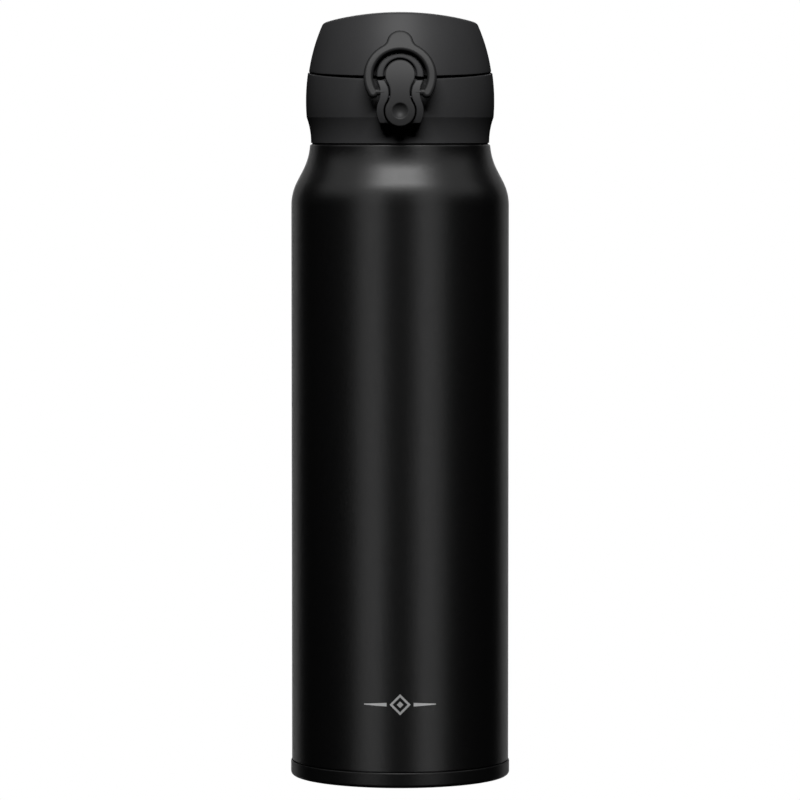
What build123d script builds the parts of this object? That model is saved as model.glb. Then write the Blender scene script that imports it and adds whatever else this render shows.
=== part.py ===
from build123d import *
from math import cos, radians, sin, sqrt, tan
import os

os.makedirs("parts", exist_ok=True)

# One-touch vacuum flask, in millimetres. +Z is up, the origin is the centre of the base,
# and the latch faces -Y. Heights of the stopper unit are counted from the shoulder ledge.

# ---------------------------------------------------------------- bottle
body_radius = 37.5
ledge_height = 218.2        # top of the shoulder, where the collar comes down
ledge_radius = 31.0
steel_wall = 0.5
vacuum_gap = 2.3
shoulder_slope = 27.4       # degrees from vertical on the straight stretch
shoulder_exit = 5.8         # degrees from vertical where the shoulder meets the ledge
heel_radius = 17.8          # round from the side into the slope
throat_radius = 22.0        # hollow round from the slope up to the ledge
throat_rise = 1.0           # last straight stretch below the ledge
ledge_round = 0.6
seat_radius = 29.4          # low step on the ledge that centres the collar
seat_rise = 1.0
seat_clearance = 0.3
inner_slope = 35.0
inner_throat_radius = 8.0
inner_corner = 9.0
neck_radius = 26.6          # outside of the neck, at the root of the thread
neck_gap = 1.6
neck_height = 13.6          # from the ledge to the jacket's upper edge

thread_lead = 4.0
thread_turns = 2.0
thread_root_width = 1.6
thread_crest_width = 0.8
thread_depth = 1.1
thread_start = 2.6          # first turn's height above the ledge
thread_bite = 0.25          # how far a thread ridge is rooted in its wall
thread_clearance = 0.4      # radial room between a crest and the opposite root
collar_thread_turns = 1.25

foot_inset = 1.1            # the jacket steps in where the base cap goes round it
foot_step_height = 5.5
foot_low = 2.0
cap_height = 5.2
cap_proud = 0.34
cap_floor = 1.9
cap_hollow_radius = 30.0
cap_hollow_depth = 0.8
cap_round = 1.3
cap_clearance = 0.05
plate_thickness = 0.6
plate_height = 4.6          # upper face of the closing plate
inner_clear_height = 7.6    # underside of the inner bottle
seal_hole_radius = 1.2
seal_head_radius = 4.0
seal_head_thickness = 1.0
foil_thickness = 0.15
foil_margin = 12.0
foil_shoulder_margin = 2.6
getter_radius = 4.5
getter_height = 1.8
getter_offset = 15.0

# ---------------------------------------------------------------- stopper unit
collar_gap = 0.5            # between the ledge and the collar's lower edge
collar_foot_radius = 30.7
collar_waist_radius = 31.0
collar_waist_rise = 4.6
collar_crease_radius = 32.2
collar_crease_rise = 9.2
collar_barrel_radius = 32.43
collar_barrel_rise = 14.4
collar_top_radius = 31.2
collar_top_rise = 26.6
collar_wall = 2.2
deck_rise = 14.8            # underside of the deck, above the ledge
deck_thickness = 2.0
flow_radius = 12.0
rim_reach = 33.5            # the three rim heights stand this far forward, half way and this far back
rim_front_rise = 21.85
rim_middle_rise = 24.55
rim_rear_rise = 26.51

plug_stem_gap = 2.5         # from the mouth's wall in to the plug's stem
plug_stem_wall = 1.5
plug_flange_gap = 0.8
plug_flange_thickness = 1.2
plug_low_rise = 4.8
plug_upper_flange_rise = 11.6
plug_hole_radius = 14.0
mouth_clearance = 0.15      # between the gasket and the mouth's wall
groove_clearance = 0.2      # between the gasket and its groove
gasket_body = 1.2
rib_flat_start = 0.5        # shares of a third of the gasket's height
rib_flat_end = 0.8

spout_flange_radius = 23.0
spout_flange_thickness = 1.5
spout_foot_radius = 18.2
spout_lip_radius = 16.6
spout_lip_inner = 14.4
spout_height = 15.0
spout_floor_rise = 4.0
spout_floor = 1.4
spout_lip_round = 0.8
drink_hole_radius = 4.6
drink_hole_spread = 3.2
drink_hole_offset = 7.0
vent_radius = 1.3
vent_offset = 9.5
ring_groove_inner = 13.3
ring_groove_width = 2.2
ring_groove_depth = 0.9

# ---------------------------------------------------------------- lid
lid_low_radius = 31.75
lid_low_rise = 21.8
lid_mid_radius = 29.67
lid_mid_rise = 32.9
lid_high_radius = 25.5
lid_high_rise = 43.6
lid_apex_rise = 44.85
lid_arch_radius = 110.0
lid_flank_run_on = 8.0      # straight stretch above the flank, trimmed off by the vault
lid_edge_round = 1.9
lid_wall = 1.8
lid_part_rise = 24.9        # height of the lid's lower edge half way back
lid_part_tilt = 3.3         # degrees; the lower edge rises towards the hinge
liner_radius = 26.2
liner_wall = 1.2
liner_top_rise = 35.6
liner_flange_rise = 28.4
liner_flange_thickness = 1.0
liner_skirt = 2.0
liner_clearance = 0.1
lid_gasket_radius = 19.0
lid_gasket_clearance = 0.15
lid_gasket_dome = 1.2
lid_gasket_dome_radius = 10.0
lid_gasket_dome_slope = 2.0

# ---------------------------------------------------------------- hinge
hinge_back = 35.4           # distance of the hinge axis behind the flask's axis
hinge_rise = 15.3
knuckle_radius = 2.6
pin_radius = 1.2
pin_fit = 0.03
running_fit = 0.06
tongue_half_width = 8.0
tongue_gap = 0.3            # side play between the tongue and the ears
ear_thickness = 3.0
spring_slot_half_width = 4.3
spring_slot_radius = 2.9
tongue_front = 32.85
tongue_foot_back = 29.5     # the tongue's outline, as distances behind the axis and rises
tongue_inner_back = 27.9
tongue_top_rise = 33.8
tongue_top_back = 30.6
tongue_shoulder = (34.6, 30.6)
tongue_heel = (37.3, 23.8)
tongue_edge_gap = 0.1
ear_root_back = 31.0
ear_root_drop = 4.0
ear_root_lift = 3.5
ear_root_radius = 1.0
spring_mean_radius = 1.85
spring_wire = 0.3
spring_pitch = 1.0
spring_turns = 7

# ---------------------------------------------------------------- latch
disc_radius = 5.08          # both round ends of the latch lever
waist_half_width = 3.34
lower_disc_rise = 11.2
upper_disc_rise = 23.5
lever_gap = 0.47            # round the lever, to the cheeks and the lid's arch
rail_width = 2.4            # width of the cheeks and of the arch round the lever
waist_rail_width = 2.9
cheek_top_rise = 21.7
cheek_low_rise = 7.1
cheek_middle_rise = 14.3
cheek_low_front = 36.0      # distances in front of the axis at the cheeks' three rises
cheek_middle_front = 37.5
cheek_top_front = 36.2
cheek_root = 30.6           # where the cheeks start inside the collar's wall
arch_foot_rise = 23.0
arch_root = 29.7
arch_clearance = 0.3        # between the arch's sweep and the lock ring
lever_pin_front = 35.9
lever_pin_rise = 15.8
lever_pin_radius = 0.8
lever_pin_half_length = 5.0
dimple_radius = 2.6
dimple_depth = 1.0
dimple_rise = 11.4
nose_half_width = 2.4
nose_low_rise = 25.7
nose_high_rise = 27.4
nose_front = 31.5
nose_length = 2.5
latch_edge_round = 0.48

ring_pivot_front = 36.4
ring_pivot_rise = 17.6
ring_tilt = 13.8            # degrees; the ring leans back along the lid
ring_thickness = 2.4
ring_outer_radius = 12.35
ring_inner_radius = 9.14
ring_centre_up = 5.4        # ring centre above its pivot, along the ring
ring_end_angle = 32.0       # degrees below level where the ring's two ends stop
tab_radius = 4.1
tab_centre_up = 17.6
tab_root_round = 2.5
ring_edge_round = 0.8
stub_radius = 0.9
stub_inner_end = 5.25
stub_boss_radius = 1.3
stub_boss_end = 6.95

latch_spring_rise = 10.4
latch_spring_radius = 1.6
latch_spring_wire = 0.25
latch_spring_pitch = 0.9
latch_spring_seat = 31.4
latch_spring_pocket = 2.1
lever_back = 35.0
lever_top_back = 33.0
lever_low_rise = 6.0
lever_middle_rise = 13.0
lever_top_rise = 28.8
lever_low_front = 37.6
lever_middle_front = 38.0
lever_top_front = 34.7
lever_bend_low_rise = 17.8
lever_bend_high_rise = 20.3


def at(rise):
    """Height above the base of something measured from the shoulder ledge."""
    return ledge_height + rise


def revolved(points, corner=None, corner_radius=0.0):
    """Solid of revolution about the flask's axis from a closed outline of (radius, height)."""
    with BuildPart() as turned:
        with BuildSketch(Plane.XZ) as section:
            with BuildLine():
                Polyline(*points, close=True)
            make_face()
            if corner:
                wanted = [v for v in section.vertices() if any(
                    abs(v.Y - h) < 0.01 and abs(v.X - r) < 0.01 for r, h in corner)]
                fillet(wanted, corner_radius)
        revolve(axis=Axis.Z)
    return turned.part


def shoulder_run():
    """Length of the shoulder's straight stretch, and the height where the shoulder starts."""
    slope = radians(shoulder_slope)
    leave = radians(shoulder_exit)
    heel_side = heel_radius * (1 - cos(slope))
    throat_side = throat_radius * (cos(leave) - cos(slope))
    side_left = body_radius - ledge_radius - heel_side - throat_side - throat_rise * tan(leave)
    length = side_left / sin(slope)
    climb = (heel_radius * sin(slope) + length * cos(slope)
             + throat_radius * (sin(slope) - sin(leave)) + throat_rise)
    return length, ledge_height - climb


def jacket_form(inset, low, step_height, top):
    """Solid inside the jacket's outline, moved inwards by inset."""
    leave = radians(shoulder_exit)
    slope_length, heel_height = shoulder_run()
    side = body_radius - inset
    with BuildPart() as form:
        with BuildSketch(Plane.XZ):
            with BuildLine():
                foot = Polyline(
                    (0, low),
                    (side - foot_inset, low),
                    (side - foot_inset, step_height),
                    (side, step_height),
                    (side, heel_height),
                )
                heel = JernArc(foot @ 1, (0, 1), heel_radius - inset, shoulder_slope)
                ramp = Line(heel @ 1, heel @ 1 + (heel % 1) * slope_length)
                throat = JernArc(ramp @ 1, ramp % 1, throat_radius + inset,
                                 shoulder_exit - shoulder_slope)
                rise_left = ledge_height - inset - (throat @ 1).Y
                lip = Line(throat @ 1, throat @ 1 + Vector(-rise_left * tan(leave), rise_left))
                Polyline(
                    lip @ 1,
                    (seat_radius - inset, ledge_height - inset),
                    (seat_radius - inset, ledge_height + seat_rise - inset),
                    (neck_radius - inset, ledge_height + seat_rise - inset),
                    (neck_radius - inset, top),
                    (0, top),
                    (0, low),
                )
            make_face()
        revolve(axis=Axis.Z)
    return form.part


def inner_form(inset, top):
    """Solid inside the inner bottle's outline, moved inwards by inset."""
    side = body_radius - steel_wall - vacuum_gap - inset
    neck = neck_radius - steel_wall - neck_gap - inset
    low = inner_clear_height + inset
    slope = radians(inner_slope)
    heel = heel_radius - vacuum_gap - steel_wall - inset
    throat = inner_throat_radius + inset
    corner = inner_corner - inset
    ramp_length = (side - neck - (heel + throat) * (1 - cos(slope))) / sin(slope)
    climb = (heel + throat) * sin(slope) + ramp_length * cos(slope)
    neck_foot = ledge_height + 1.0 - inset * tan(slope / 2)
    with BuildPart() as form:
        with BuildSketch(Plane.XZ):
            with BuildLine():
                floor = Line((0, low), (side - corner, low))
                turn = JernArc(floor @ 1, (1, 0), corner, 90)
                wall = Line(turn @ 1, (side, neck_foot - climb))
                bend = JernArc(wall @ 1, (0, 1), heel, inner_slope)
                ramp = Line(bend @ 1, bend @ 1 + (bend % 1) * ramp_length)
                rising = JernArc(ramp @ 1, ramp % 1, throat, -inner_slope)
                Polyline(rising @ 1, (neck, top), (0, top), (0, low))
            make_face()
        revolve(axis=Axis.Z)
    return form.part


def thread_ridge(root, depth, start, turns, outward):
    """Helical ridge standing on a round wall, outward or inward."""
    step = 1 if outward else -1
    helix = Helix(pitch=thread_lead, height=thread_lead * turns, radius=root,
                  center=(0, 0, start))
    section_plane = Plane(origin=helix @ 0, x_dir=(1, 0, 0), z_dir=helix % 0)
    with BuildPart() as ridge:
        with BuildSketch(section_plane):
            with BuildLine():
                Polyline(
                    (-step * thread_bite, -thread_root_width / 2),
                    (0, -thread_root_width / 2),
                    (step * depth, -thread_crest_width / 2),
                    (step * depth, thread_crest_width / 2),
                    (0, thread_root_width / 2),
                    (-step * thread_bite, thread_root_width / 2),
                    close=True,
                )
            make_face()
        sweep(path=helix, is_frenet=True)
    return ridge.part


# ================================================================ bottle
with BuildPart() as outer_shell:
    add(jacket_form(0, foot_low, foot_step_height, at(neck_height)))
    lip_edges = outer_shell.edges().filter_by(GeomType.CIRCLE).filter_by_position(
        Axis.Z, at(-0.01), at(0.01)).sort_by(SortBy.RADIUS)[-1:]
    fillet(lip_edges, ledge_round)
    add(jacket_form(steel_wall, foot_low - 1, foot_step_height + steel_wall, at(neck_height + 1)),
        mode=Mode.SUBTRACT)
    add(thread_ridge(neck_radius, thread_depth, at(thread_start), thread_turns, True))
outer_shell.part.label = "outer_shell"

mouth_radius = neck_radius - neck_gap - 2 * steel_wall
rim_rise = neck_height + steel_wall
with BuildPart() as inner_bottle:
    add(inner_form(0, at(rim_rise)))
    with BuildSketch(Plane.XY.offset(at(neck_height))):
        Circle(neck_radius)
    extrude(amount=steel_wall)
    add(inner_form(steel_wall, at(rim_rise + 1)), mode=Mode.SUBTRACT)
inner_bottle.part.label = "inner_bottle"

plate_radius = body_radius - foot_inset - steel_wall
with BuildPart() as outer_bottom:
    with BuildSketch(Plane.XY.offset(foot_low)):
        Circle(plate_radius)
    extrude(amount=plate_height - foot_low)
    with BuildSketch(Plane.XY.offset(foot_low)):
        Circle(plate_radius - plate_thickness)
    extrude(amount=plate_height - plate_thickness - foot_low, mode=Mode.SUBTRACT)
    with BuildSketch(Plane.XY.offset(foot_low)):
        Circle(seal_hole_radius)
    extrude(amount=plate_height, mode=Mode.SUBTRACT)
outer_bottom.part.label = "outer_bottom"

with BuildPart() as vacuum_seal:
    with BuildSketch(Plane.XY.offset(plate_height - plate_thickness - seal_head_thickness)):
        Circle(seal_head_radius)
    extrude(amount=seal_head_thickness)
    fillet(vacuum_seal.faces().sort_by(Axis.Z)[0].edges(), seal_head_thickness / 2)
    with BuildSketch(Plane.XY.offset(plate_height - plate_thickness)):
        Circle(seal_hole_radius)
    extrude(amount=plate_thickness)
vacuum_seal.part.label = "vacuum_seal"

with BuildPart() as getter:
    with BuildSketch(Plane.XY.offset(plate_height)):
        with Locations((getter_offset, 0)):
            Circle(getter_radius)
    extrude(amount=getter_height)
    fillet(getter.faces().sort_by(Axis.Z)[-1].edges(), getter_height / 4)
getter.part.label = "getter"

liner_outside = body_radius - steel_wall - vacuum_gap
foil_low = inner_clear_height + foil_margin
foil_high = shoulder_run()[1] - foil_shoulder_margin
with BuildPart() as radiation_foil:
    with BuildSketch(Plane.XY.offset(foil_low)):
        Circle(liner_outside + foil_thickness)
        Circle(liner_outside, mode=Mode.SUBTRACT)
    extrude(amount=foil_high - foil_low)
radiation_foil.part.label = "radiation_foil"

cap_radius = body_radius + cap_proud
with BuildPart() as base_cap:
    with BuildSketch(Plane.XY):
        Circle(cap_radius)
    extrude(amount=cap_height)
    fillet(base_cap.faces().sort_by(Axis.Z)[0].edges(), cap_round)
    with BuildSketch(Plane.XY.offset(cap_floor)):
        Circle(body_radius - foot_inset + cap_clearance)
    extrude(amount=cap_height, mode=Mode.SUBTRACT)
    with BuildSketch(Plane.XY):
        Circle(cap_hollow_radius)
    extrude(amount=cap_hollow_depth, mode=Mode.SUBTRACT)
base_cap.part.label = "base_cap"


# ================================================================ latch outlines
def waisted(disc, waist):
    """Outline of two discs joined by a hollow waist, as seen from the front."""
    half_span = (upper_disc_rise - lower_disc_rise) / 2
    middle = at((upper_disc_rise + lower_disc_rise) / 2)
    hollow = (half_span ** 2 + waist ** 2 - disc ** 2) / (2 * (disc - waist))
    reach = waist + hollow
    touch = disc / (disc + hollow)
    touch_side = reach * touch
    touch_up = half_span * (1 - touch)
    with BuildSketch() as outline:
        with Locations((0, middle - half_span), (0, middle + half_span)):
            Circle(disc)
        with Locations((0, middle)):
            Rectangle(2 * touch_side, 2 * touch_up)
        with Locations((-reach, middle), (reach, middle)):
            Circle(hollow, mode=Mode.SUBTRACT)
    return outline.sketch_local


def side_profile(front_curve, back_points):
    """Side view, in (distance towards the back, height), of something behind a curved front."""
    with BuildSketch() as profile:
        with BuildLine():
            front = ThreePointArc(*front_curve)
            Polyline(front @ 1, *back_points, front @ 0)
        make_face()
    return profile.sketch_local


lever_outline = waisted(disc_radius, waist_half_width)
lever_room = waisted(disc_radius + lever_gap, waist_half_width + lever_gap)
rail_outline = waisted(disc_radius + lever_gap + rail_width,
                       waist_half_width + lever_gap + waist_rail_width)
latch_reach = 45.0
unit_half_width = 20.0

lever_side = side_profile(
    (
        (-lever_low_front, at(lever_low_rise)),
        (-lever_middle_front, at(lever_middle_rise)),
        (-lever_top_front, at(lever_top_rise)),
    ),
    (
        (-lever_top_back, at(lever_top_rise)),
        (-lever_top_back, at(lever_bend_high_rise)),
        (-lever_back, at(lever_bend_low_rise)),
        (-lever_back, at(lever_low_rise)),
    ),
)
cheek_side = side_profile(
    (
        (-cheek_low_front, at(cheek_low_rise)),
        (-cheek_middle_front, at(cheek_middle_rise)),
        (-cheek_top_front, at(cheek_top_rise)),
    ),
    ((-cheek_root, at(cheek_top_rise)), (-cheek_root, at(cheek_low_rise))),
)

hinge_height = at(hinge_rise)
ring_slope = radians(ring_tilt)
pivot_reach = ring_pivot_front + hinge_back
ring_back_radius = (pivot_reach * cos(ring_slope)
                    + (ring_pivot_rise - hinge_rise) * sin(ring_slope) - ring_thickness / 2)
arch_sweep_radius = ring_back_radius - arch_clearance

with BuildPart() as cheeks:
    with BuildSketch(Plane.XZ.offset(cheek_root)):
        add(rail_outline)
        add(lever_room, mode=Mode.SUBTRACT)
        with Locations((0, at((cheek_low_rise + cheek_top_rise) / 2))):
            Rectangle(2 * unit_half_width, cheek_top_rise - cheek_low_rise, mode=Mode.INTERSECT)
    extrude(amount=latch_reach - cheek_root)
    with BuildSketch(Plane.YZ.offset(-unit_half_width)):
        add(cheek_side)
    extrude(amount=2 * unit_half_width, mode=Mode.INTERSECT)
    fillet(cheeks.faces().sort_by(Axis.Y)[:2].edges(), latch_edge_round)

with BuildPart() as arch:
    with BuildSketch(Plane.XZ.offset(arch_root)):
        add(rail_outline)
        add(lever_room, mode=Mode.SUBTRACT)
        with Locations((0, at(arch_foot_rise) + unit_half_width)):
            Rectangle(2 * unit_half_width, 2 * unit_half_width, mode=Mode.INTERSECT)
    extrude(amount=latch_reach - arch_root)
    with BuildSketch(Plane.YZ.offset(-unit_half_width)):
        with Locations((hinge_back, hinge_height)):
            Circle(arch_sweep_radius)
    extrude(amount=2 * unit_half_width, mode=Mode.INTERSECT)
    fillet(arch.faces().sort_by(Axis.Y)[0].edges(), latch_edge_round)


# ================================================================ stopper unit
female_root = neck_radius + thread_depth + thread_clearance
collar_low = at(collar_gap)
deck_low = at(deck_rise)
deck_top = at(deck_rise + deck_thickness)

with BuildPart() as ears:
    with BuildSketch(Plane.YZ.offset(tongue_half_width + tongue_gap)):
        with Locations((hinge_back, hinge_height)):
            Circle(knuckle_radius)
        with Locations((ear_root_back, hinge_height - ear_root_drop),
                       (ear_root_back, hinge_height + ear_root_lift)):
            Circle(ear_root_radius)
        make_hull()
    extrude(amount=ear_thickness)
    mirror(about=Plane.YZ)

with BuildPart() as stopper_body:
    with BuildSketch(Plane.XZ):
        with BuildLine():
            foot = ThreePointArc(
                (collar_foot_radius, collar_low),
                (collar_waist_radius, at(collar_waist_rise)),
                (collar_crease_radius, at(collar_crease_rise)),
            )
            barrel = ThreePointArc(
                foot @ 1,
                (collar_barrel_radius, at(collar_barrel_rise)),
                (collar_top_radius, at(collar_top_rise + 1.0)),
            )
            Polyline(
                barrel @ 1,
                (collar_top_radius - collar_wall, at(collar_top_rise + 1.0)),
                (collar_barrel_radius - collar_wall, deck_top),
                (flow_radius, deck_top),
                (flow_radius, deck_low),
                (female_root, deck_low),
                (female_root, at(seat_rise + collar_gap)),
                (seat_radius + seat_clearance, at(seat_rise + collar_gap)),
                (seat_radius + seat_clearance, collar_low),
                foot @ 0,
            )
        make_face()
    revolve(axis=Axis.Z)
    with BuildSketch(Plane.YZ):
        with BuildLine():
            rim = ThreePointArc(
                (-rim_reach, at(rim_front_rise)),
                (0, at(rim_middle_rise)),
                (rim_reach, at(rim_rear_rise)),
            )
            Polyline(rim @ 1, (rim_reach, at(latch_reach)), (-rim_reach, at(latch_reach)), rim @ 0)
        make_face()
    extrude(amount=latch_reach, both=True, mode=Mode.SUBTRACT)
    with BuildSketch(Plane.XY.offset(deck_top - ring_groove_depth)):
        Circle(ring_groove_inner + ring_groove_width)
        Circle(ring_groove_inner, mode=Mode.SUBTRACT)
    extrude(amount=ring_groove_depth, mode=Mode.SUBTRACT)
    add(cheeks.part)
    add(ears.part)
    add(thread_ridge(female_root, thread_depth, at(thread_start + thread_lead / 2),
                     collar_thread_turns, False))
    with BuildSketch(Plane.YZ):
        with Locations((hinge_back, hinge_height)):
            Circle(pin_radius + pin_fit)
    extrude(amount=unit_half_width, both=True, mode=Mode.SUBTRACT)
    with BuildSketch(Plane.YZ):
        with Locations((-lever_pin_front, at(lever_pin_rise))):
            Circle(lever_pin_radius + pin_fit)
    extrude(amount=lever_pin_half_length + pin_fit, both=True, mode=Mode.SUBTRACT)
    with BuildSketch(Plane.YZ.offset(stub_inner_end - tongue_gap)):
        with Locations((-ring_pivot_front, at(ring_pivot_rise))):
            Circle(stub_radius + running_fit)
    extrude(amount=unit_half_width, mode=Mode.SUBTRACT)
    with BuildSketch(Plane.YZ.offset(tongue_gap - stub_inner_end)):
        with Locations((-ring_pivot_front, at(ring_pivot_rise))):
            Circle(stub_radius + running_fit)
    extrude(amount=-unit_half_width, mode=Mode.SUBTRACT)
    with BuildSketch(Plane.XZ.offset(latch_spring_seat)):
        with Locations((0, at(latch_spring_rise))):
            Circle(latch_spring_pocket)
    extrude(amount=latch_spring_pocket, mode=Mode.SUBTRACT)
stopper_body.part.label = "stopper_body"

plug_stem_radius = mouth_radius - plug_stem_gap
plug_flange_radius = mouth_radius - plug_flange_gap
plug_low = at(plug_low_rise)
plug_floor_top = plug_low + plug_flange_thickness
upper_flange = at(plug_upper_flange_rise)
with BuildPart() as stopper_plug:
    add(revolved((
        (plug_hole_radius, plug_low),
        (plug_flange_radius, plug_low),
        (plug_flange_radius, plug_floor_top),
        (plug_stem_radius, plug_floor_top),
        (plug_stem_radius, upper_flange),
        (plug_flange_radius, upper_flange),
        (plug_flange_radius, upper_flange + plug_flange_thickness),
        (plug_stem_radius, upper_flange + plug_flange_thickness),
        (plug_stem_radius, deck_low),
        (plug_stem_radius - plug_stem_wall, deck_low),
        (plug_stem_radius - plug_stem_wall, plug_floor_top),
        (plug_hole_radius, plug_floor_top),
    )))
stopper_plug.part.label = "stopper_plug"

gasket_inner = plug_stem_radius + groove_clearance
gasket_low = plug_floor_top + groove_clearance
gasket_high = upper_flange - groove_clearance
gasket_tip = mouth_radius - mouth_clearance
gasket_third = (gasket_high - gasket_low) / 3
with BuildPart() as stopper_gasket:
    add(revolved((
        (gasket_inner, gasket_low),
        (gasket_inner + gasket_body, gasket_low),
        (gasket_tip, gasket_low + rib_flat_start * gasket_third),
        (gasket_tip, gasket_low + rib_flat_end * gasket_third),
        (gasket_inner + gasket_body, gasket_low + gasket_third),
        (gasket_inner + gasket_body, gasket_high - gasket_third),
        (gasket_tip, gasket_high - rib_flat_end * gasket_third),
        (gasket_tip, gasket_high - rib_flat_start * gasket_third),
        (gasket_inner + gasket_body, gasket_high),
        (gasket_inner, gasket_high),
    )))
stopper_gasket.part.label = "stopper_gasket"

spout_low = deck_top
spout_floor_low = spout_low + spout_floor_rise
spout_top = spout_low + spout_height
with BuildPart() as spout:
    add(revolved(
        (
            (flow_radius, spout_low),
            (spout_flange_radius, spout_low),
            (spout_flange_radius, spout_low + spout_flange_thickness),
            (spout_foot_radius, spout_low + spout_flange_thickness),
            (spout_lip_radius, spout_top),
            (spout_lip_inner, spout_top),
            (spout_lip_inner, spout_floor_low + spout_floor),
            (0, spout_floor_low + spout_floor),
            (0, spout_floor_low),
            (flow_radius, spout_floor_low),
        ),
        corner=((spout_lip_radius, spout_top), (spout_lip_inner, spout_top)),
        corner_radius=spout_lip_round,
    ))
    with BuildSketch(Plane.XY.offset(spout_floor_low)):
        with Locations((-drink_hole_spread, -drink_hole_offset), (drink_hole_spread, -drink_hole_offset)):
            Circle(drink_hole_radius)
        make_hull()
    extrude(amount=spout_floor, mode=Mode.SUBTRACT)
    with BuildSketch(Plane.XY.offset(spout_floor_low)):
        with Locations((0, vent_offset)):
            Circle(vent_radius)
    extrude(amount=spout_floor, mode=Mode.SUBTRACT)
spout.part.label = "spout"

with BuildPart() as spout_gasket:
    with BuildSketch(Plane.XY.offset(deck_top - ring_groove_depth)):
        Circle(ring_groove_inner + ring_groove_width - pin_fit)
        Circle(ring_groove_inner + pin_fit, mode=Mode.SUBTRACT)
    extrude(amount=ring_groove_depth)
spout_gasket.part.label = "spout_gasket"

with BuildPart() as hinge_pin:
    pin_half_length = tongue_half_width + tongue_gap + ear_thickness - pin_fit
    with BuildSketch(Plane.YZ):
        with Locations((hinge_back, hinge_height)):
            Circle(pin_radius)
    extrude(amount=pin_half_length, both=True)
    chamfer(hinge_pin.edges().filter_by(GeomType.CIRCLE), pin_radius / 6)
hinge_pin.part.label = "hinge_pin"

coil_half_length = spring_pitch * spring_turns / 2
coil = Helix(pitch=spring_pitch, height=2 * coil_half_length, radius=spring_mean_radius,
             center=(-coil_half_length, hinge_back, hinge_height), direction=(1, 0, 0))
with BuildPart() as hinge_spring:
    with BuildSketch(Plane(origin=coil @ 0, z_dir=coil % 0)):
        Circle(spring_wire)
    sweep(path=coil, is_frenet=True)
hinge_spring.part.label = "hinge_spring"

with BuildPart() as latch_pin:
    with BuildSketch(Plane.YZ):
        with Locations((-lever_pin_front, at(lever_pin_rise))):
            Circle(lever_pin_radius)
    extrude(amount=lever_pin_half_length, both=True)
latch_pin.part.label = "latch_pin"

latch_spring_length = lever_back - latch_spring_seat - 2 * latch_spring_wire - 2 * pin_fit
latch_coil = Helix(pitch=latch_spring_pitch, height=latch_spring_length, radius=latch_spring_radius,
                   center=(0, -latch_spring_seat - latch_spring_wire - pin_fit, at(latch_spring_rise)),
                   direction=(0, -1, 0))
with BuildPart() as latch_spring:
    with BuildSketch(Plane(origin=latch_coil @ 0, z_dir=latch_coil % 0)):
        Circle(latch_spring_wire)
    sweep(path=latch_coil, is_frenet=True)
latch_spring.part.label = "latch_spring"


# ================================================================ lid
def lid_form(inset, low):
    """Solid inside the lid's outline, moved inwards by inset, down to a flat lower face."""
    apex = at(lid_apex_rise) - inset
    with BuildPart() as form:
        with BuildSketch(Plane.XZ):
            with BuildLine():
                flank = ThreePointArc(
                    (lid_low_radius - inset, at(lid_low_rise)),
                    (lid_mid_radius - inset, at(lid_mid_rise)),
                    (lid_high_radius - inset, at(lid_high_rise)),
                )
                Polyline(flank @ 1, flank @ 1 + (flank % 1) * lid_flank_run_on,
                         (0, at(lid_high_rise + lid_flank_run_on)),
                         (0, low), (lid_low_radius - inset, low), flank @ 0)
            make_face()
        revolve(axis=Axis.Z)
        with BuildSketch(Plane.XZ.offset(-latch_reach)):
            with Locations((0, apex - lid_arch_radius + inset)):
                Circle(lid_arch_radius - inset)
        extrude(amount=2 * latch_reach, mode=Mode.INTERSECT)
        crown = form.faces().filter_by(GeomType.CYLINDER).sort_by(SortBy.AREA)[-1]
        fillet(crown.edges(), lid_edge_round)
    return form.part


part_slope = tan(radians(lid_part_tilt))
lid_part_plane = Plane(origin=(0, 0, at(lid_part_rise)), x_dir=(1, 0, 0), z_dir=(0, -part_slope, 1))
tongue_low = at(lid_part_rise) + tongue_front * part_slope + tongue_edge_gap

with BuildPart() as tongue:
    with BuildSketch(Plane.YZ):
        with BuildLine():
            Polyline(
                (tongue_front, hinge_height),
                (tongue_front, tongue_low),
                (tongue_foot_back, tongue_low),
                (tongue_inner_back, at(tongue_top_rise)),
                (tongue_top_back, at(tongue_top_rise)),
                (tongue_shoulder[0], at(tongue_shoulder[1])),
                (tongue_heel[0], at(tongue_heel[1])),
                (hinge_back + knuckle_radius, hinge_height),
                close=True,
            )
        make_face()
        with Locations((hinge_back, hinge_height)):
            Circle(knuckle_radius)
    extrude(amount=tongue_half_width, both=True)
    with BuildSketch(Plane.YZ):
        with Locations((hinge_back, hinge_height)):
            Circle(spring_slot_radius)
    extrude(amount=spring_slot_half_width, both=True, mode=Mode.SUBTRACT)

with BuildPart() as lid_shell:
    add(lid_form(0, at(lid_low_rise)))
    add(lid_form(lid_wall, at(lid_low_rise - 1)), mode=Mode.SUBTRACT)
    split(bisect_by=lid_part_plane, keep=Keep.TOP)
    add(arch.part)
    add(tongue.part)
    with BuildSketch(Plane.YZ):
        with Locations((hinge_back, hinge_height)):
            Circle(pin_radius + running_fit)
    extrude(amount=unit_half_width, both=True, mode=Mode.SUBTRACT)
lid_shell.part.label = "lid_shell"

liner_top = at(liner_top_rise)
liner_flange_top = at(liner_flange_rise + liner_flange_thickness)
liner_flange_radius = lid_mid_radius - lid_wall - liner_clearance
with BuildPart() as lid_liner:
    add(revolved((
        (liner_radius - liner_wall, at(liner_flange_rise - liner_skirt)),
        (liner_radius, at(liner_flange_rise - liner_skirt)),
        (liner_radius, at(liner_flange_rise)),
        (liner_flange_radius, at(liner_flange_rise)),
        (liner_flange_radius, liner_flange_top),
        (liner_radius, liner_flange_top),
        (liner_radius, liner_top),
        (0, liner_top),
        (0, liner_top - liner_wall),
        (liner_radius - liner_wall, liner_top - liner_wall),
    )))
lid_liner.part.label = "lid_liner"

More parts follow.
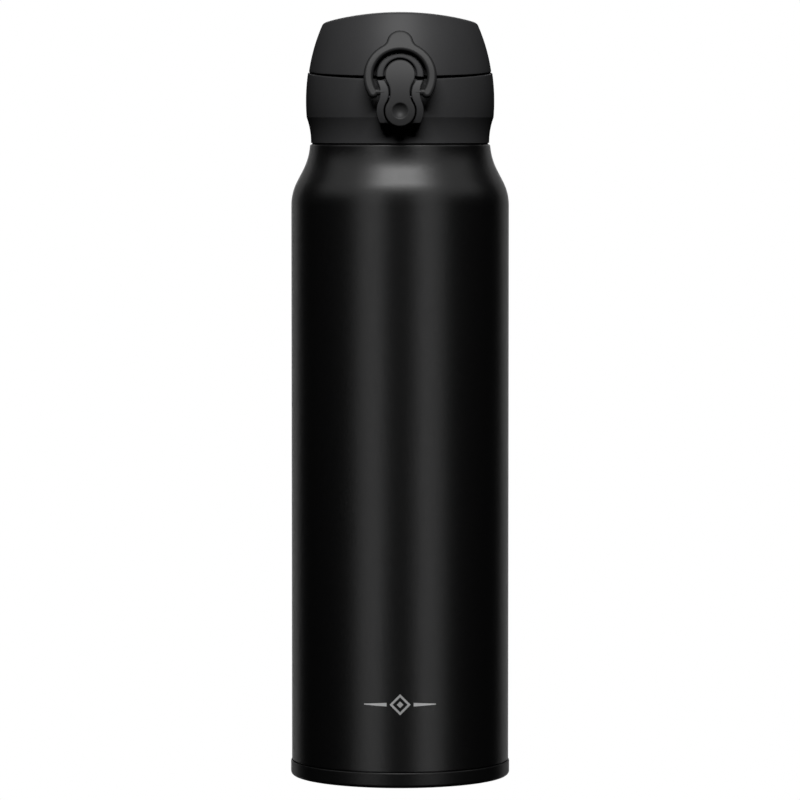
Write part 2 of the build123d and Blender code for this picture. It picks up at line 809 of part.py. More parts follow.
lid_gasket_low = spout_top + lid_gasket_clearance
with BuildPart() as lid_gasket:
    add(revolved(
        (
            (0, lid_gasket_low - lid_gasket_dome),
            (lid_gasket_dome_radius - lid_gasket_dome_slope, lid_gasket_low - lid_gasket_dome),
            (lid_gasket_dome_radius, lid_gasket_low),
            (lid_gasket_radius, lid_gasket_low),
            (lid_gasket_radius, liner_top - liner_wall),
            (0, liner_top - liner_wall),
        ),
    ))
lid_gasket.part.label = "lid_gasket"


# ================================================================ latch lever and lock ring
with BuildPart() as latch_lever:
    with BuildSketch(Plane.XZ.offset(cheek_root)):
        add(lever_outline)
    extrude(amount=latch_reach - cheek_root)
    with BuildSketch(Plane.YZ.offset(-unit_half_width)):
        add(lever_side)
    extrude(amount=2 * unit_half_width, mode=Mode.INTERSECT)
    fillet(latch_lever.faces().sort_by(Axis.Y)[0].edges(), latch_edge_round)
    with BuildSketch(Plane.XZ.offset(nose_front)):
        with Locations((0, at((nose_low_rise + nose_high_rise) / 2))):
            Rectangle(2 * nose_half_width, nose_high_rise - nose_low_rise)
    extrude(amount=nose_length)
    ball_radius = (dimple_radius ** 2 + dimple_depth ** 2) / (2 * dimple_depth)
    with Locations((0, dimple_depth - lever_middle_front - ball_radius, at(dimple_rise))):
        Sphere(ball_radius, mode=Mode.SUBTRACT)
    with BuildSketch(Plane.YZ):
        with Locations((-lever_pin_front, at(lever_pin_rise))):
            Circle(lever_pin_radius + running_fit)
    extrude(amount=unit_half_width, both=True, mode=Mode.SUBTRACT)
latch_lever.part.label = "latch_lever"

ring_plane = Plane(origin=(0, -ring_pivot_front, at(ring_pivot_rise)), x_dir=(1, 0, 0),
                   z_dir=(0, -cos(ring_slope), sin(ring_slope)))
ring_reach = ring_outer_radius + tab_root_round
tab_reach = tab_radius + tab_root_round
tab_span = tab_centre_up - ring_centre_up
root_climb = (ring_reach ** 2 - tab_reach ** 2 + tab_span ** 2) / (2 * tab_span)
root_side = sqrt(ring_reach ** 2 - root_climb ** 2)
root_up = ring_centre_up + root_climb
root_on_ring = (root_side * ring_outer_radius / ring_reach,
                ring_centre_up + root_climb * ring_outer_radius / ring_reach)
root_on_tab = (root_side * tab_radius / tab_reach,
               tab_centre_up + (root_up - tab_centre_up) * tab_radius / tab_reach)
ring_end = radians(ring_end_angle)
end_radius = (ring_outer_radius - ring_inner_radius) / 2
end_side = (ring_outer_radius - end_radius) * cos(ring_end)
end_up = ring_centre_up - (ring_outer_radius - end_radius) * sin(ring_end)
cut_side = 2 * ring_outer_radius * cos(ring_end)
cut_up = ring_centre_up - 2 * ring_outer_radius * sin(ring_end)
with BuildPart() as lock_ring:
    with BuildSketch(ring_plane.offset(-ring_thickness / 2)):
        with Locations((0, ring_centre_up)):
            Circle(ring_outer_radius)
        with Locations((0, tab_centre_up)):
            Circle(tab_radius)
        with BuildLine():
            Polyline((0, ring_centre_up), root_on_ring, root_on_tab, (0, tab_centre_up),
                     (-root_on_tab[0], root_on_tab[1]), (-root_on_ring[0], root_on_ring[1]),
                     close=True)
        make_face()
        with Locations((root_side, root_up), (-root_side, root_up)):
            Circle(tab_root_round, mode=Mode.SUBTRACT)
        with Locations((0, ring_centre_up)):
            Circle(ring_inner_radius, mode=Mode.SUBTRACT)
        with BuildLine():
            Polyline((0, ring_centre_up), (cut_side, cut_up), (cut_side, -2 * ring_outer_radius),
                     (-cut_side, -2 * ring_outer_radius), (-cut_side, cut_up), close=True)
        make_face(mode=Mode.SUBTRACT)
        with Locations((-end_side, end_up), (end_side, end_up)):
            Circle(end_radius)
    extrude(amount=ring_thickness)
    ring_axis = Axis(ring_plane.origin, ring_plane.z_dir)
    ring_front = lock_ring.faces().filter_by(GeomType.PLANE).sort_by(ring_axis)[-1]
    fillet(ring_front.edges(), ring_edge_round)
    with BuildSketch(Plane.YZ.offset(stub_inner_end)):
        with Locations((-ring_pivot_front, at(ring_pivot_rise))):
            Circle(stub_radius)
    extrude(amount=end_side - stub_inner_end)
    with BuildSketch(Plane.YZ.offset(stub_boss_end)):
        with Locations((-ring_pivot_front, at(ring_pivot_rise))):
            Circle(stub_boss_radius)
    extrude(amount=end_side - stub_boss_end)
    mirror(about=Plane.YZ)
lock_ring.part.label = "lock_ring"

pieces = (
    outer_shell, inner_bottle, outer_bottom, vacuum_seal, getter, radiation_foil, base_cap,
    stopper_gasket, stopper_body, stopper_plug, spout, spout_gasket, hinge_pin, hinge_spring,
    latch_pin, latch_spring, lid_shell, lid_liner, lid_gasket, latch_lever, lock_ring,
)
for piece in pieces:
    export_step(piece.part, "parts/" + piece.part.label + ".step")
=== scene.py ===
from math import asin, atan2, cos, degrees, pi, radians, sin, sqrt, tan

import bmesh
import bpy
from mathutils import Matrix, Vector


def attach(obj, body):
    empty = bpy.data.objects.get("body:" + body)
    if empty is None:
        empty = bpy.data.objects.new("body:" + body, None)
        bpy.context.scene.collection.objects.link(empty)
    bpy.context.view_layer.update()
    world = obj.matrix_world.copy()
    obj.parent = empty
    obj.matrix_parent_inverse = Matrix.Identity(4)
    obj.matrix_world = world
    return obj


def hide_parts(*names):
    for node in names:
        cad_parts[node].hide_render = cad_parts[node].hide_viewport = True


# One-touch vacuum flask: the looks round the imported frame.
# +Z is up, the latch faces -Y and the lid's hinge is at +Y.
# Sizes are in millimetres here and mm() makes them metres.

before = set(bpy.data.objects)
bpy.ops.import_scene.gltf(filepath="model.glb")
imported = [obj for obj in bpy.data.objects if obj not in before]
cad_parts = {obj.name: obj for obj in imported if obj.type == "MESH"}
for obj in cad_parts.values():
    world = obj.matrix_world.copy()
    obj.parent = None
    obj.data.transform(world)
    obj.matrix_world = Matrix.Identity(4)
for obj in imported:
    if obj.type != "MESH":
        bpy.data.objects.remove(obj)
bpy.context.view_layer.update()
print("frame loaded,", len(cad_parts), "nodes")

ledgeHeight = 218.2
upAxis = Vector((0, 0, 1))
frontAxis = Vector((0, -1, 0))  # turning about it runs anticlockwise as seen from the front


def mm(value):
    return value / 1000.0


def at(rise):  # heights of the stopper unit are counted from the shoulder ledge
    return ledgeHeight + rise


hingeBack, hingeHeight = 35.4, at(15.3)  # the lid's axis


# Modelling helpers

def circleThrough(a, b, c):  # middle and radius of the circle through three flat points
    (ax, ay), (bx, by), (cx, cy) = a, b, c
    d = 2 * (ax * (by - cy) + bx * (cy - ay) + cx * (ay - by))
    sa, sb, sc = ax * ax + ay * ay, bx * bx + by * by, cx * cx + cy * cy
    ux = (sa * (by - cy) + sb * (cy - ay) + sc * (ay - by)) / d
    uy = (sa * (cx - bx) + sb * (ax - cx) + sc * (bx - ax)) / d
    return ux, uy, sqrt((ax - ux) ** 2 + (ay - uy) ** 2)


def sideOf(circle, height, sign):  # sideways place of a circle's left (-1) or right (+1) edge
    return circle[0] + sign * sqrt(max(circle[2] ** 2 - (height - circle[1]) ** 2, 0.0))


def crownOf(circle, across):  # height of a circle's upper edge at a sideways place
    return circle[1] + sqrt(max(circle[2] ** 2 - (across - circle[0]) ** 2, 0.0))


# Flat path: (length,) goes straight on, (radius, degrees, steps) turns left or right.
def walk(point, heading, *moves):
    path = [point]
    for move in moves:
        (x, y), way = path[-1], radians(heading)
        if len(move) == 1:
            path.append((x + move[0] * cos(way), y + move[0] * sin(way)))
            continue
        radius, turn, steps = move
        side = 1 if turn > 0 else -1
        middle = (x - side * radius * sin(way), y + side * radius * cos(way))
        for step in range(1, steps + 1):
            angle = radians(heading + turn * step / steps)
            path.append((middle[0] + side * radius * sin(angle), middle[1] - side * radius * cos(angle)))
        heading += turn
    return path


# Closed outline of (radius, height, round, round steps) turned about the flask's axis.
def spinOutline(bm, outline, steps):
    verts = [bm.verts.new((mm(point[0]), 0, mm(point[1]))) for point in outline]
    for i in range(len(verts)):
        bm.edges.new((verts[i - 1], verts[i]))
    for vert, point in zip(verts, outline):
        if len(point) > 2:
            bmesh.ops.bevel(bm, geom=[vert], offset=mm(point[2]), offset_type="OFFSET", segments=point[3],
                            profile=0.5, affect="VERTICES", material=-1)
    wire = [edge for edge in bm.edges if edge.is_wire]
    points = list({vert for edge in wire for vert in edge.verts})
    bmesh.ops.spin(bm, geom=points + wire, cent=(0, 0, 0), axis=upAxis, angle=2 * pi, steps=steps, use_merge=True)


# A plain tube with one ring for each outline point. The piece puts the rings in place.
def ringTube(bm, count, steps):
    verts = [bm.verts.new((1, 0, i)) for i in range(count)]
    edges = [bm.edges.new(pair) for pair in zip(verts, verts[1:])]
    bmesh.ops.spin(bm, geom=verts + edges, cent=(0, 0, 0), axis=upAxis, angle=2 * pi, steps=steps, use_merge=True)
    rings = {i: [] for i in range(count)}
    for vert in bm.verts:
        rings[round(vert.co.z)].append(vert)
    return rings


def ringEdges(ring):
    members = set(ring)
    return [edge for edge in {e for v in ring for e in v.link_edges} if set(edge.verts) <= members]


def sharpEdges(bm, least):  # edges between two faces that meet at more than an angle
    return [edge for edge in bm.edges if len(edge.link_faces) == 2
            and abs(edge.calc_face_angle(0)) > radians(least)]


def vertsOf(geometry):
    return [item for item in geometry if isinstance(item, bmesh.types.BMVert)]


def pushOut(bm, faces):  # doubles the faces, walls the gap and returns the copy's vertices
    return vertsOf(bmesh.ops.extrude_face_region(bm, geom=faces, use_keep_orig=True)["geom"])


def roundEdges(bm, edges, size, steps):
    bm.normal_update()
    return bmesh.ops.bevel(bm, geom=edges, offset=mm(size), offset_type="OFFSET", segments=steps, profile=0.5,
                           affect="EDGES", clamp_overlap=True, material=-1)


def threadRidge(bm, s, inward):  # helical ridge that fades out at both ends
    side = -1 if inward else 1
    half, crest = s["rootWidth"] / 2, s["crestWidth"] / 2
    bite, least = -side * s["bite"], side * s["least"]
    section = ((bite, -half), (0, -half), (least, -crest), (least, crest), (0, half), (bite, half))
    verts = [bm.verts.new((mm(s["root"] + r), 0, mm(s["start"] + z))) for r, z in section]
    edges = [bm.edges.new((verts[i - 1], verts[i])) for i in range(len(verts))]
    last = verts + edges
    count = round(s["turns"] * s["stepsPerTurn"])
    for step in range(1, count + 1):
        made = bmesh.ops.spin(bm, geom=last, cent=(0, 0, 0), axis=upAxis, angle=2 * pi / s["stepsPerTurn"],
                              steps=1, dvec=(0, 0, mm(s["lead"] / s["stepsPerTurn"])), use_merge=False)
        last = made["geom_last"]
        grown = min(step, count - step, s["fadeSteps"]) / s["fadeSteps"]
        reach = mm(s["root"] + side * max(s["depth"] * grown, s["least"]))
        for vert in vertsOf(last):
            if side * (vert.co.xy.length - mm(s["root"])) > mm(s["least"] / 2):
                vert.co.xy *= reach / vert.co.xy.length
    bmesh.ops.holes_fill(bm, edges=[edge for edge in bm.edges if edge.is_boundary], sides=8)


def arcOn(bm, vert, middle, turn, steps):  # draws an arc in the front plane and returns its end
    made = bmesh.ops.spin(bm, geom=[vert], cent=(mm(middle[0]), vert.co.y, mm(middle[1])), axis=frontAxis,
                          angle=radians(turn), steps=steps, use_merge=False)
    return vertsOf(made["geom_last"])[0]


def mirrorAndFill(bm):  # second half of a front outline, and one flat face over the whole
    bmesh.ops.mirror(bm, geom=bm.verts[:] + bm.edges[:], axis="X", merge_dist=mm(0.004))
    bmesh.ops.remove_doubles(bm, verts=bm.verts, dist=mm(0.004))
    bmesh.ops.edgeloop_fill(bm, edges=bm.edges[:])
    return bm.faces[:]


def thicken(bm, faces, depth):  # pulls a flat front face back into a solid and returns its front edges
    rim = [edge for face in faces for edge in face.edges if edge.is_boundary]
    bmesh.ops.translate(bm, verts=pushOut(bm, faces), vec=(0, mm(depth), 0))
    return rim


def thickenAcross(bm, depth):  # pushes a flat side face out along +X and returns the solid's sharp edges
    bmesh.ops.translate(bm, verts=pushOut(bm, bm.faces[:]), vec=(mm(depth), 0, 0))
    bmesh.ops.recalc_face_normals(bm, faces=bm.faces)
    return sharpEdges(bm, 60)


def joinInto(bm, part):  # adds a finished loose shell to a piece's mesh
    bmesh.ops.recalc_face_normals(part, faces=part.faces)
    mesh = bpy.data.meshes.new("loosePart")
    part.to_mesh(mesh)
    part.free()
    bm.from_mesh(mesh)
    bpy.data.meshes.remove(mesh)


def slicePlanes(bm, axis, low, high, pitch):  # cuts that let a flat face follow a curve
    normal = Vector((axis == "X", axis == "Y", axis == "Z"))
    for i in range(round((high - low) / pitch) + 1):
        bmesh.ops.bisect_plane(bm, geom=bm.verts[:] + bm.edges[:] + bm.faces[:], dist=mm(0.001),
                               plane_co=normal * mm(low + i * pitch), plane_no=normal)


def newPiece(bm, name, body, material, replaced=(), sharp=38.0):
    bmesh.ops.remove_doubles(bm, verts=bm.verts, dist=mm(0.002))
    bmesh.ops.dissolve_degenerate(bm, edges=bm.edges, dist=mm(0.001))
    bmesh.ops.recalc_face_normals(bm, faces=bm.faces)
    mesh = bpy.data.meshes.new(name)
    bm.to_mesh(mesh)
    bm.free()
    mesh.polygons.foreach_set("use_smooth", [True] * len(mesh.polygons))
    mesh.set_sharp_from_angle(angle=radians(sharp))
    piece = bpy.data.objects.new(name, mesh)
    bpy.context.scene.collection.objects.link(piece)
    mesh.materials.append(material)
    normals = piece.modifiers.new("evenNormals", "WEIGHTED_NORMAL")
    normals.keep_sharp = True
    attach(piece, body)
    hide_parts(*replaced)
    print("made", name, len(mesh.polygons), "faces")
    return piece


# Shared shader effects

def newGroup(name, inputs, outputs):
    group = bpy.data.node_groups.new(name, "ShaderNodeTree")
    for socketName, kind, value in inputs:
        socket = group.interface.new_socket(name=socketName, in_out="INPUT", socket_type=kind)
        if value is not None:
            socket.default_value = value
    for socketName, kind in outputs:
        group.interface.new_socket(name=socketName, in_out="OUTPUT", socket_type=kind)
    return group, group.nodes.new("NodeGroupInput"), group.nodes.new("NodeGroupOutput")


def addNode(tree, kind, **settings):
    node = tree.nodes.new(kind)
    for key, value in settings.items():
        setattr(node, key, value)
    return node


def grainGroup():  # fine moulded or sprayed texture: a height, and a mask of its high points
    group, start, end = newGroup(
        "fineGrain",
        [("Vector", "NodeSocketVector", None), ("Scale", "NodeSocketFloat", 2500.0),
         ("Cloud Scale", "NodeSocketFloat", 60.0)],
        [("Height", "NodeSocketFloat"), ("Peaks", "NodeSocketFloat"), ("Cloud", "NodeSocketFloat")])
    fine = addNode(group, "ShaderNodeTexNoise", noise_dimensions="3D")
    fine.inputs["Detail"].default_value = 3.0
    fine.inputs["Roughness"].default_value = 0.62
    cloud = addNode(group, "ShaderNodeTexNoise", noise_dimensions="3D")
    cloud.inputs["Detail"].default_value = 2.0
    peaks = addNode(group, "ShaderNodeMapRange", clamp=True)
    peaks.inputs["From Min"].default_value = 0.50
    peaks.inputs["From Max"].default_value = 0.72
    for noise, scale in ((fine, "Scale"), (cloud, "Cloud Scale")):
        group.links.new(start.outputs["Vector"], noise.inputs["Vector"])
        group.links.new(start.outputs[scale], noise.inputs["Scale"])
    group.links.new(fine.outputs["Fac"], peaks.inputs["Value"])
    group.links.new(fine.outputs["Fac"], end.inputs["Height"])
    group.links.new(peaks.outputs["Result"], end.inputs["Peaks"])
    group.links.new(cloud.outputs["Fac"], end.inputs["Cloud"])
    return group


def dustGroup():  # a few pale specks that lie on a surface
    group, start, end = newGroup(
        "dustSpecks",
        [("Vector", "NodeSocketVector", None), ("Scale", "NodeSocketFloat", 260.0),
         ("Size", "NodeSocketFloat", 0.05)],
        [("Mask", "NodeSocketFloat")])
    cells = addNode(group, "ShaderNodeTexVoronoi", voronoi_dimensions="3D", feature="F1")
    cells.inputs["Randomness"].default_value = 1.0
    near = addNode(group, "ShaderNodeMath", operation="LESS_THAN")
    pick = addNode(group, "ShaderNodeSeparateColor")
    few = addNode(group, "ShaderNodeMath", operation="GREATER_THAN")
    few.inputs[1].default_value = 0.80
    both = addNode(group, "ShaderNodeMath", operation="MULTIPLY")
    group.links.new(start.outputs["Vector"], cells.inputs["Vector"])
    group.links.new(start.outputs["Scale"], cells.inputs["Scale"])
    group.links.new(cells.outputs["Distance"], near.inputs[0])
    group.links.new(start.outputs["Size"], near.inputs[1])
    group.links.new(cells.outputs["Color"], pick.inputs["Color"])
    group.links.new(pick.outputs["Red"], few.inputs[0])
    group.links.new(near.outputs[0], both.inputs[0])
    group.links.new(few.outputs[0], both.inputs[1])
    group.links.new(both.outputs[0], end.inputs["Mask"])
    return group


def turnedGroup():  # fine lines that run round the flask's axis, as a lathe or a spun brush leaves them
    group, start, end = newGroup(
        "turnedLines", [("Vector", "NodeSocketVector", None), ("Scale", "NodeSocketFloat", 3000.0)],
        [("Lines", "NodeSocketFloat")])
    parts = addNode(group, "ShaderNodeSeparateXYZ")
    lengthNode = addNode(group, "ShaderNodeVectorMath", operation="LENGTH")
    flat = addNode(group, "ShaderNodeVectorMath", operation="MULTIPLY")
    flat.inputs[1].default_value = (1, 1, 0)
    joined = addNode(group, "ShaderNodeCombineXYZ")
    noise = addNode(group, "ShaderNodeTexNoise", noise_dimensions="3D")
    noise.inputs["Detail"].default_value = 2.0
    group.links.new(start.outputs["Vector"], parts.inputs[0])
    group.links.new(start.outputs["Vector"], flat.inputs[0])
    group.links.new(flat.outputs[0], lengthNode.inputs[0])
    group.links.new(lengthNode.outputs["Value"], joined.inputs["X"])
    group.links.new(parts.outputs["Z"], joined.inputs["Z"])
    group.links.new(joined.outputs[0], noise.inputs["Vector"])
    group.links.new(start.outputs["Scale"], noise.inputs["Scale"])
    group.links.new(noise.outputs["Fac"], end.inputs["Lines"])
    return group


fineGrain = grainGroup()
dustSpecks = dustGroup()
turnedLines = turnedGroup()


def groupNode(tree, group, vector, **values):
    node = addNode(tree, "ShaderNodeGroup", node_tree=group)
    tree.links.new(vector, node.inputs["Vector"])
    for key, value in values.items():
        node.inputs[key.replace("_", " ")].default_value = value
    return node


def mixColour(tree, factor, first, second):
    node = addNode(tree, "ShaderNodeMix", data_type="RGBA")
    tree.links.new(factor, node.inputs["Factor"])
    for key, value in (("A", first), ("B", second)):
        socket = [s for s in node.inputs if s.name == key and s.type == "RGBA"][0]
        if isinstance(value, bpy.types.NodeSocket):
            tree.links.new(value, socket)
        else:
            socket.default_value = (*value, 1)
    return [s for s in node.outputs if s.type == "RGBA"][0]


def spread(tree, factor, low, high):
    node = addNode(tree, "ShaderNodeMapRange", clamp=True)
    tree.links.new(factor, node.inputs["Value"])
    node.inputs["To Min"].default_value = low
    node.inputs["To Max"].default_value = high
    return node.outputs["Result"]


def newMaterial(name):
    material = bpy.data.materials.new(name)
    material.use_nodes = True
    tree = material.node_tree
    place = addNode(tree, "ShaderNodeTexCoord")
    return material, tree, tree.nodes["Principled BSDF"], place.outputs["Object"]


def setSockets(shader, **values):
    for key, value in values.items():
        shader.inputs[key.replace("_", " ")].default_value = value


def addBump(tree, shader, height, distance, strength):
    bump = addNode(tree, "ShaderNodeBump")
    bump.inputs["Distance"].default_value = mm(distance)
    bump.inputs["Strength"].default_value = strength
    tree.links.new(height, bump.inputs["Height"])
    tree.links.new(bump.outputs["Normal"], shader.inputs["Normal"])


def grainyMaterial(name, s):  # powder coat and moulded plastic: grain, cloudy tone, specks of dust
    material, tree, shader, place = newMaterial(name)
    grain = groupNode(tree, fineGrain, place, Scale=s["grainScale"], Cloud_Scale=s["cloudScale"])
    dust = groupNode(tree, dustSpecks, place, Scale=s["dustScale"], Size=s["dustSize"])
    tone = mixColour(tree, grain.outputs["Cloud"], s["dark"], s["light"])
    peaked = mixColour(tree, grain.outputs["Peaks"], tone, s["peak"])
    tree.links.new(mixColour(tree, dust.outputs["Mask"], peaked, s["dust"]), shader.inputs["Base Color"])
    tree.links.new(spread(tree, grain.outputs["Height"], *s["roughness"]), shader.inputs["Roughness"])
    addBump(tree, shader, grain.outputs["Height"], s["grainDepth"], s["grainStrength"])
    setSockets(shader, Specular_IOR_Level=s["specular"], **s.get("extra", {}))
    return material


coatMatt = grainyMaterial("powderCoat", {
    "grainScale": 3600.0, "cloudScale": 45.0, "grainDepth": 0.05, "grainStrength": 0.55,
    "dark": (0.0012, 0.0012, 0.0013), "light": (0.0020, 0.0020, 0.0021), "peak": (0.005, 0.005, 0.0053),
    "dust": (0.02, 0.02, 0.02), "dustScale": 170.0, "dustSize": 0.03,
    "roughness": (0.30, 0.35), "specular": 0.5})
basePlastic = grainyMaterial("basePlastic", {
    "grainScale": 2400.0, "cloudScale": 80.0, "grainDepth": 0.03, "grainStrength": 0.4,
    "dark": (0.002, 0.002, 0.0021), "light": (0.003, 0.003, 0.0031), "peak": (0.006, 0.006, 0.0062),
    "dust": (0.02, 0.02, 0.02), "dustScale": 190.0, "dustSize": 0.03,
    "roughness": (0.34, 0.40), "specular": 0.28})
mouldedSettings = {
    "grainScale": 4200.0, "cloudScale": 90.0, "grainDepth": 0.03, "grainStrength": 0.45,
    "dark": (0.026, 0.026, 0.027), "light": (0.031, 0.031, 0.032), "peak": (0.036, 0.036, 0.037),
    "dust": (0.06, 0.06, 0.06), "dustScale": 210.0, "dustSize": 0.03,
    "roughness": (0.50, 0.60), "specular": 0.22}
lidPlastic = grainyMaterial("lidPlastic", mouldedSettings)
leverPlastic = grainyMaterial("leverPlastic", {
    **mouldedSettings, "roughness": (0.50, 0.58), "specular": 0.2,
    "dark": (0.020, 0.020, 0.0205), "light": (0.024, 0.024, 0.0245), "peak": (0.028, 0.028, 0.0285)})
ringPlastic = grainyMaterial("ringPlastic", {
    **mouldedSettings, "roughness": (0.46, 0.54), "specular": 0.2,
    "dark": (0.014, 0.014, 0.0144), "light": (0.017, 0.017, 0.0174), "peak": (0.021, 0.021, 0.0214)})
satinPlastic = grainyMaterial("satinPlastic", {
    **mouldedSettings, "roughness": (0.34, 0.42), "grainDepth": 0.015,
    "dark": (0.030, 0.030, 0.031), "light": (0.036, 0.036, 0.037), "peak": (0.042, 0.042, 0.043)})
greyPlastic = grainyMaterial("greyPlastic", {
    **mouldedSettings, "roughness": (0.36, 0.44), "grainDepth": 0.015,
    "dark": (0.050, 0.050, 0.052), "light": (0.060, 0.060, 0.062), "peak": (0.070, 0.070, 0.072)})
silicone = grainyMaterial("silicone", {
    "grainScale": 2200.0, "cloudScale": 120.0, "grainDepth": 0.02, "grainStrength": 0.3,
    "dark": (0.60, 0.60, 0.57), "light": (0.70, 0.70, 0.67), "peak": (0.72, 0.72, 0.70),
    "dust": (0.40, 0.38, 0.35), "dustScale": 260.0, "dustSize": 0.03,
    "roughness": (0.36, 0.46), "specular": 0.45,
    "extra": {"Subsurface_Weight": 0.12, "Subsurface_Scale": 0.002}})


def metalMaterial(name, s):  # bare metals: lathe lines, stains and a fine tooth
    material, tree, shader, place = newMaterial(name)
    lines = groupNode(tree, turnedLines, place, Scale=s["lineScale"])
    grain = groupNode(tree, fineGrain, place, Scale=s["grainScale"], Cloud_Scale=s["cloudScale"])
    tree.links.new(mixColour(tree, grain.outputs["Cloud"], s["dark"], s["light"]), shader.inputs["Base Color"])
    tree.links.new(spread(tree, lines.outputs["Lines"], *s["roughness"]), shader.inputs["Roughness"])
    height = addNode(tree, "ShaderNodeMath", operation="MULTIPLY_ADD")
    height.inputs[1].default_value = s["lineShare"]
    tree.links.new(lines.outputs["Lines"], height.inputs[0])
    tree.links.new(grain.outputs["Height"], height.inputs[2])
    addBump(tree, shader, height.outputs[0], s["depth"], s["strength"])
    setSockets(shader, Metallic=1.0)
    return material


bareSteel = metalMaterial("bareSteel", {
    "lineScale": 2600.0, "grainScale": 900.0, "cloudScale": 40.0, "lineShare": 2.0, "depth": 0.01, "strength": 0.25,
    "dark": (0.52, 0.51, 0.49), "light": (0.62, 0.61, 0.59), "roughness": (0.20, 0.34)})
wireSettings = {
    "lineScale": 5200.0, "grainScale": 2600.0, "cloudScale": 200.0, "lineShare": 0.5, "depth": 0.005, "strength": 0.3,
    "dark": (0.55, 0.55, 0.54), "light": (0.66, 0.65, 0.64), "roughness": (0.16, 0.28)}
wireSteel = metalMaterial("wireSteel", wireSettings)
# Near-black copy of the wire steel: painted shade for the latch pin and spring, which show through the gap round the
# lever.
blackSteel = metalMaterial("blackSteel", {
    **wireSettings, "dark": (0.010, 0.010, 0.011), "light": (0.018, 0.018, 0.019), "roughness": (0.35, 0.5)})
copperFoil = metalMaterial("copperFoil", {
    "lineScale": 300.0, "grainScale": 260.0, "cloudScale": 30.0, "lineShare": 0.3, "depth": 0.08, "strength": 0.6,
    "dark": (0.70, 0.34, 0.20), "light": (0.80, 0.45, 0.30), "roughness": (0.22, 0.36)})
brazeMetal = metalMaterial("brazeMetal", {
    "lineScale": 800.0, "grainScale": 700.0, "cloudScale": 160.0, "lineShare": 0.2, "depth": 0.05, "strength": 0.6,
    "dark": (0.38, 0.32, 0.24), "light": (0.56, 0.49, 0.38), "roughness": (0.35, 0.55)})
getterMetal = metalMaterial("getterMetal", {
    "lineScale": 800.0, "grainScale": 2400.0, "cloudScale": 200.0, "lineShare": 0.1, "depth": 0.08, "strength": 0.9,
    "dark": (0.20, 0.20, 0.20), "light": (0.32, 0.31, 0.30), "roughness": (0.55, 0.75)})
print("materials ready")


# Steel body

jacket = {"radius": 37.5, "ledgeRadius": 31.0, "heelRadius": 17.8, "slope": 27.4, "throatRadius": 22.0, "exit": 5.8,
          "lastRise": 1.0, "footInset": 1.1, "footLow": 2.0, "footStep": 5.5, "neckRadius": 26.6, "neckTop": 231.8,
          "wall": 0.5, "lipRound": 0.6, "lipSteps": 5, "stepRound": 0.25, "stepSteps": 3, "seatRadius": 29.4,
          "seatRise": 1.0, "heelSteps": 18, "throatSteps": 14, "steps": 256}
neckThread = {"root": 26.6, "depth": 1.1, "rootWidth": 1.6, "crestWidth": 0.8, "bite": 0.25, "least": 0.02,
              "start": at(2.6), "lead": 4.0, "turns": 2.0, "stepsPerTurn": 96, "fadeSteps": 12}


def jacketOutline(s, inset):  # from the foot up to the neck's end
    slope, leave = radians(s["slope"]), radians(s["exit"])
    heelSide = s["heelRadius"] * (1 - cos(slope))
    throatSide = s["throatRadius"] * (cos(leave) - cos(slope))
    sideLeft = s["radius"] - s["ledgeRadius"] - heelSide - throatSide - s["lastRise"] * tan(leave)
    slopeLength = sideLeft / sin(slope)
    climb = (s["heelRadius"] * sin(slope) + slopeLength * cos(slope)
             + s["throatRadius"] * (sin(slope) - sin(leave)) + s["lastRise"])
    side, low = s["radius"] - inset, s["footLow"]
    step = s["footStep"] + inset
    path = walk((side, ledgeHeight - climb), 90, (s["heelRadius"] - inset, s["slope"], s["heelSteps"]),
                (slopeLength,), (s["throatRadius"] + inset, s["exit"] - s["slope"], s["throatSteps"]))
    top = ledgeHeight - inset
    lip = path[-1][0] - (top - path[-1][1]) * tan(leave)
    seat, seatTop = s["seatRadius"] - inset, top + s["seatRise"]
    lipRound, stepRound = (), ()
    if inset == 0:  # only the outside is rounded
        lipRound, stepRound = (s["lipRound"], s["lipSteps"]), (s["stepRound"], s["stepSteps"])
    return [(side - s["footInset"], low), (side - s["footInset"], step), (side, step, *stepRound), *path,
            (lip, top, *lipRound), (seat, top), (seat, seatTop, *stepRound),
            (s["neckRadius"] - inset, seatTop), (s["neckRadius"] - inset, s["neckTop"])]


def makeBody(s):
    bm = bmesh.new()
    spinOutline(bm, jacketOutline(s, 0) + jacketOutline(s, s["wall"])[::-1], s["steps"])
    threadRidge(bm, neckThread, inward=False)
    return newPiece(bm, "bodyShell", "bottle", coatMatt, ["outer_shell"])


makeBody(jacket)

baseCap = {"radius": 37.84, "height": 5.2, "topEdge": (37.66, 4.86), "inside": 36.45, "floor": 1.9, "hollow": 30.0,
           "hollowDepth": 0.8, "hollowSlope": 0.4, "hollowRound": (0.3, 3), "lowRound": (1.3, 7),
           "sideRound": (0.1, 2), "edgeRound": (0.06, 2), "innerRound": (0.15, 2), "steps": 256}


def makeBaseCap(s):
    bm = bmesh.new()
    spinOutline(bm, [(0, s["hollowDepth"]), (s["hollow"] - s["hollowSlope"], s["hollowDepth"], *s["hollowRound"]),
                     (s["hollow"], 0, *s["hollowRound"]), (s["radius"], 0, *s["lowRound"]),
                     (s["radius"], s["topEdge"][1], *s["sideRound"]), (s["topEdge"][0], s["height"], *s["edgeRound"]),
                     (s["inside"], s["height"], *s["innerRound"]), (s["inside"], s["floor"]), (0, s["floor"])],
                s["steps"])
    return newPiece(bm, "baseCap", "bottle", basePlastic, ["base_cap"])


makeBaseCap(baseCap)


# Latch outline, shared by the lever, the cheeks and the arch

latchForm = {"disc": 5.08, "waist": 3.34, "low": at(11.2), "high": at(23.5), "gap": 0.47, "rail": 2.4,
             "waistRail": 2.9}
latchMiddle = (latchForm["low"] + latchForm["high"]) / 2
latchHalf = (latchForm["high"] - latchForm["low"]) / 2


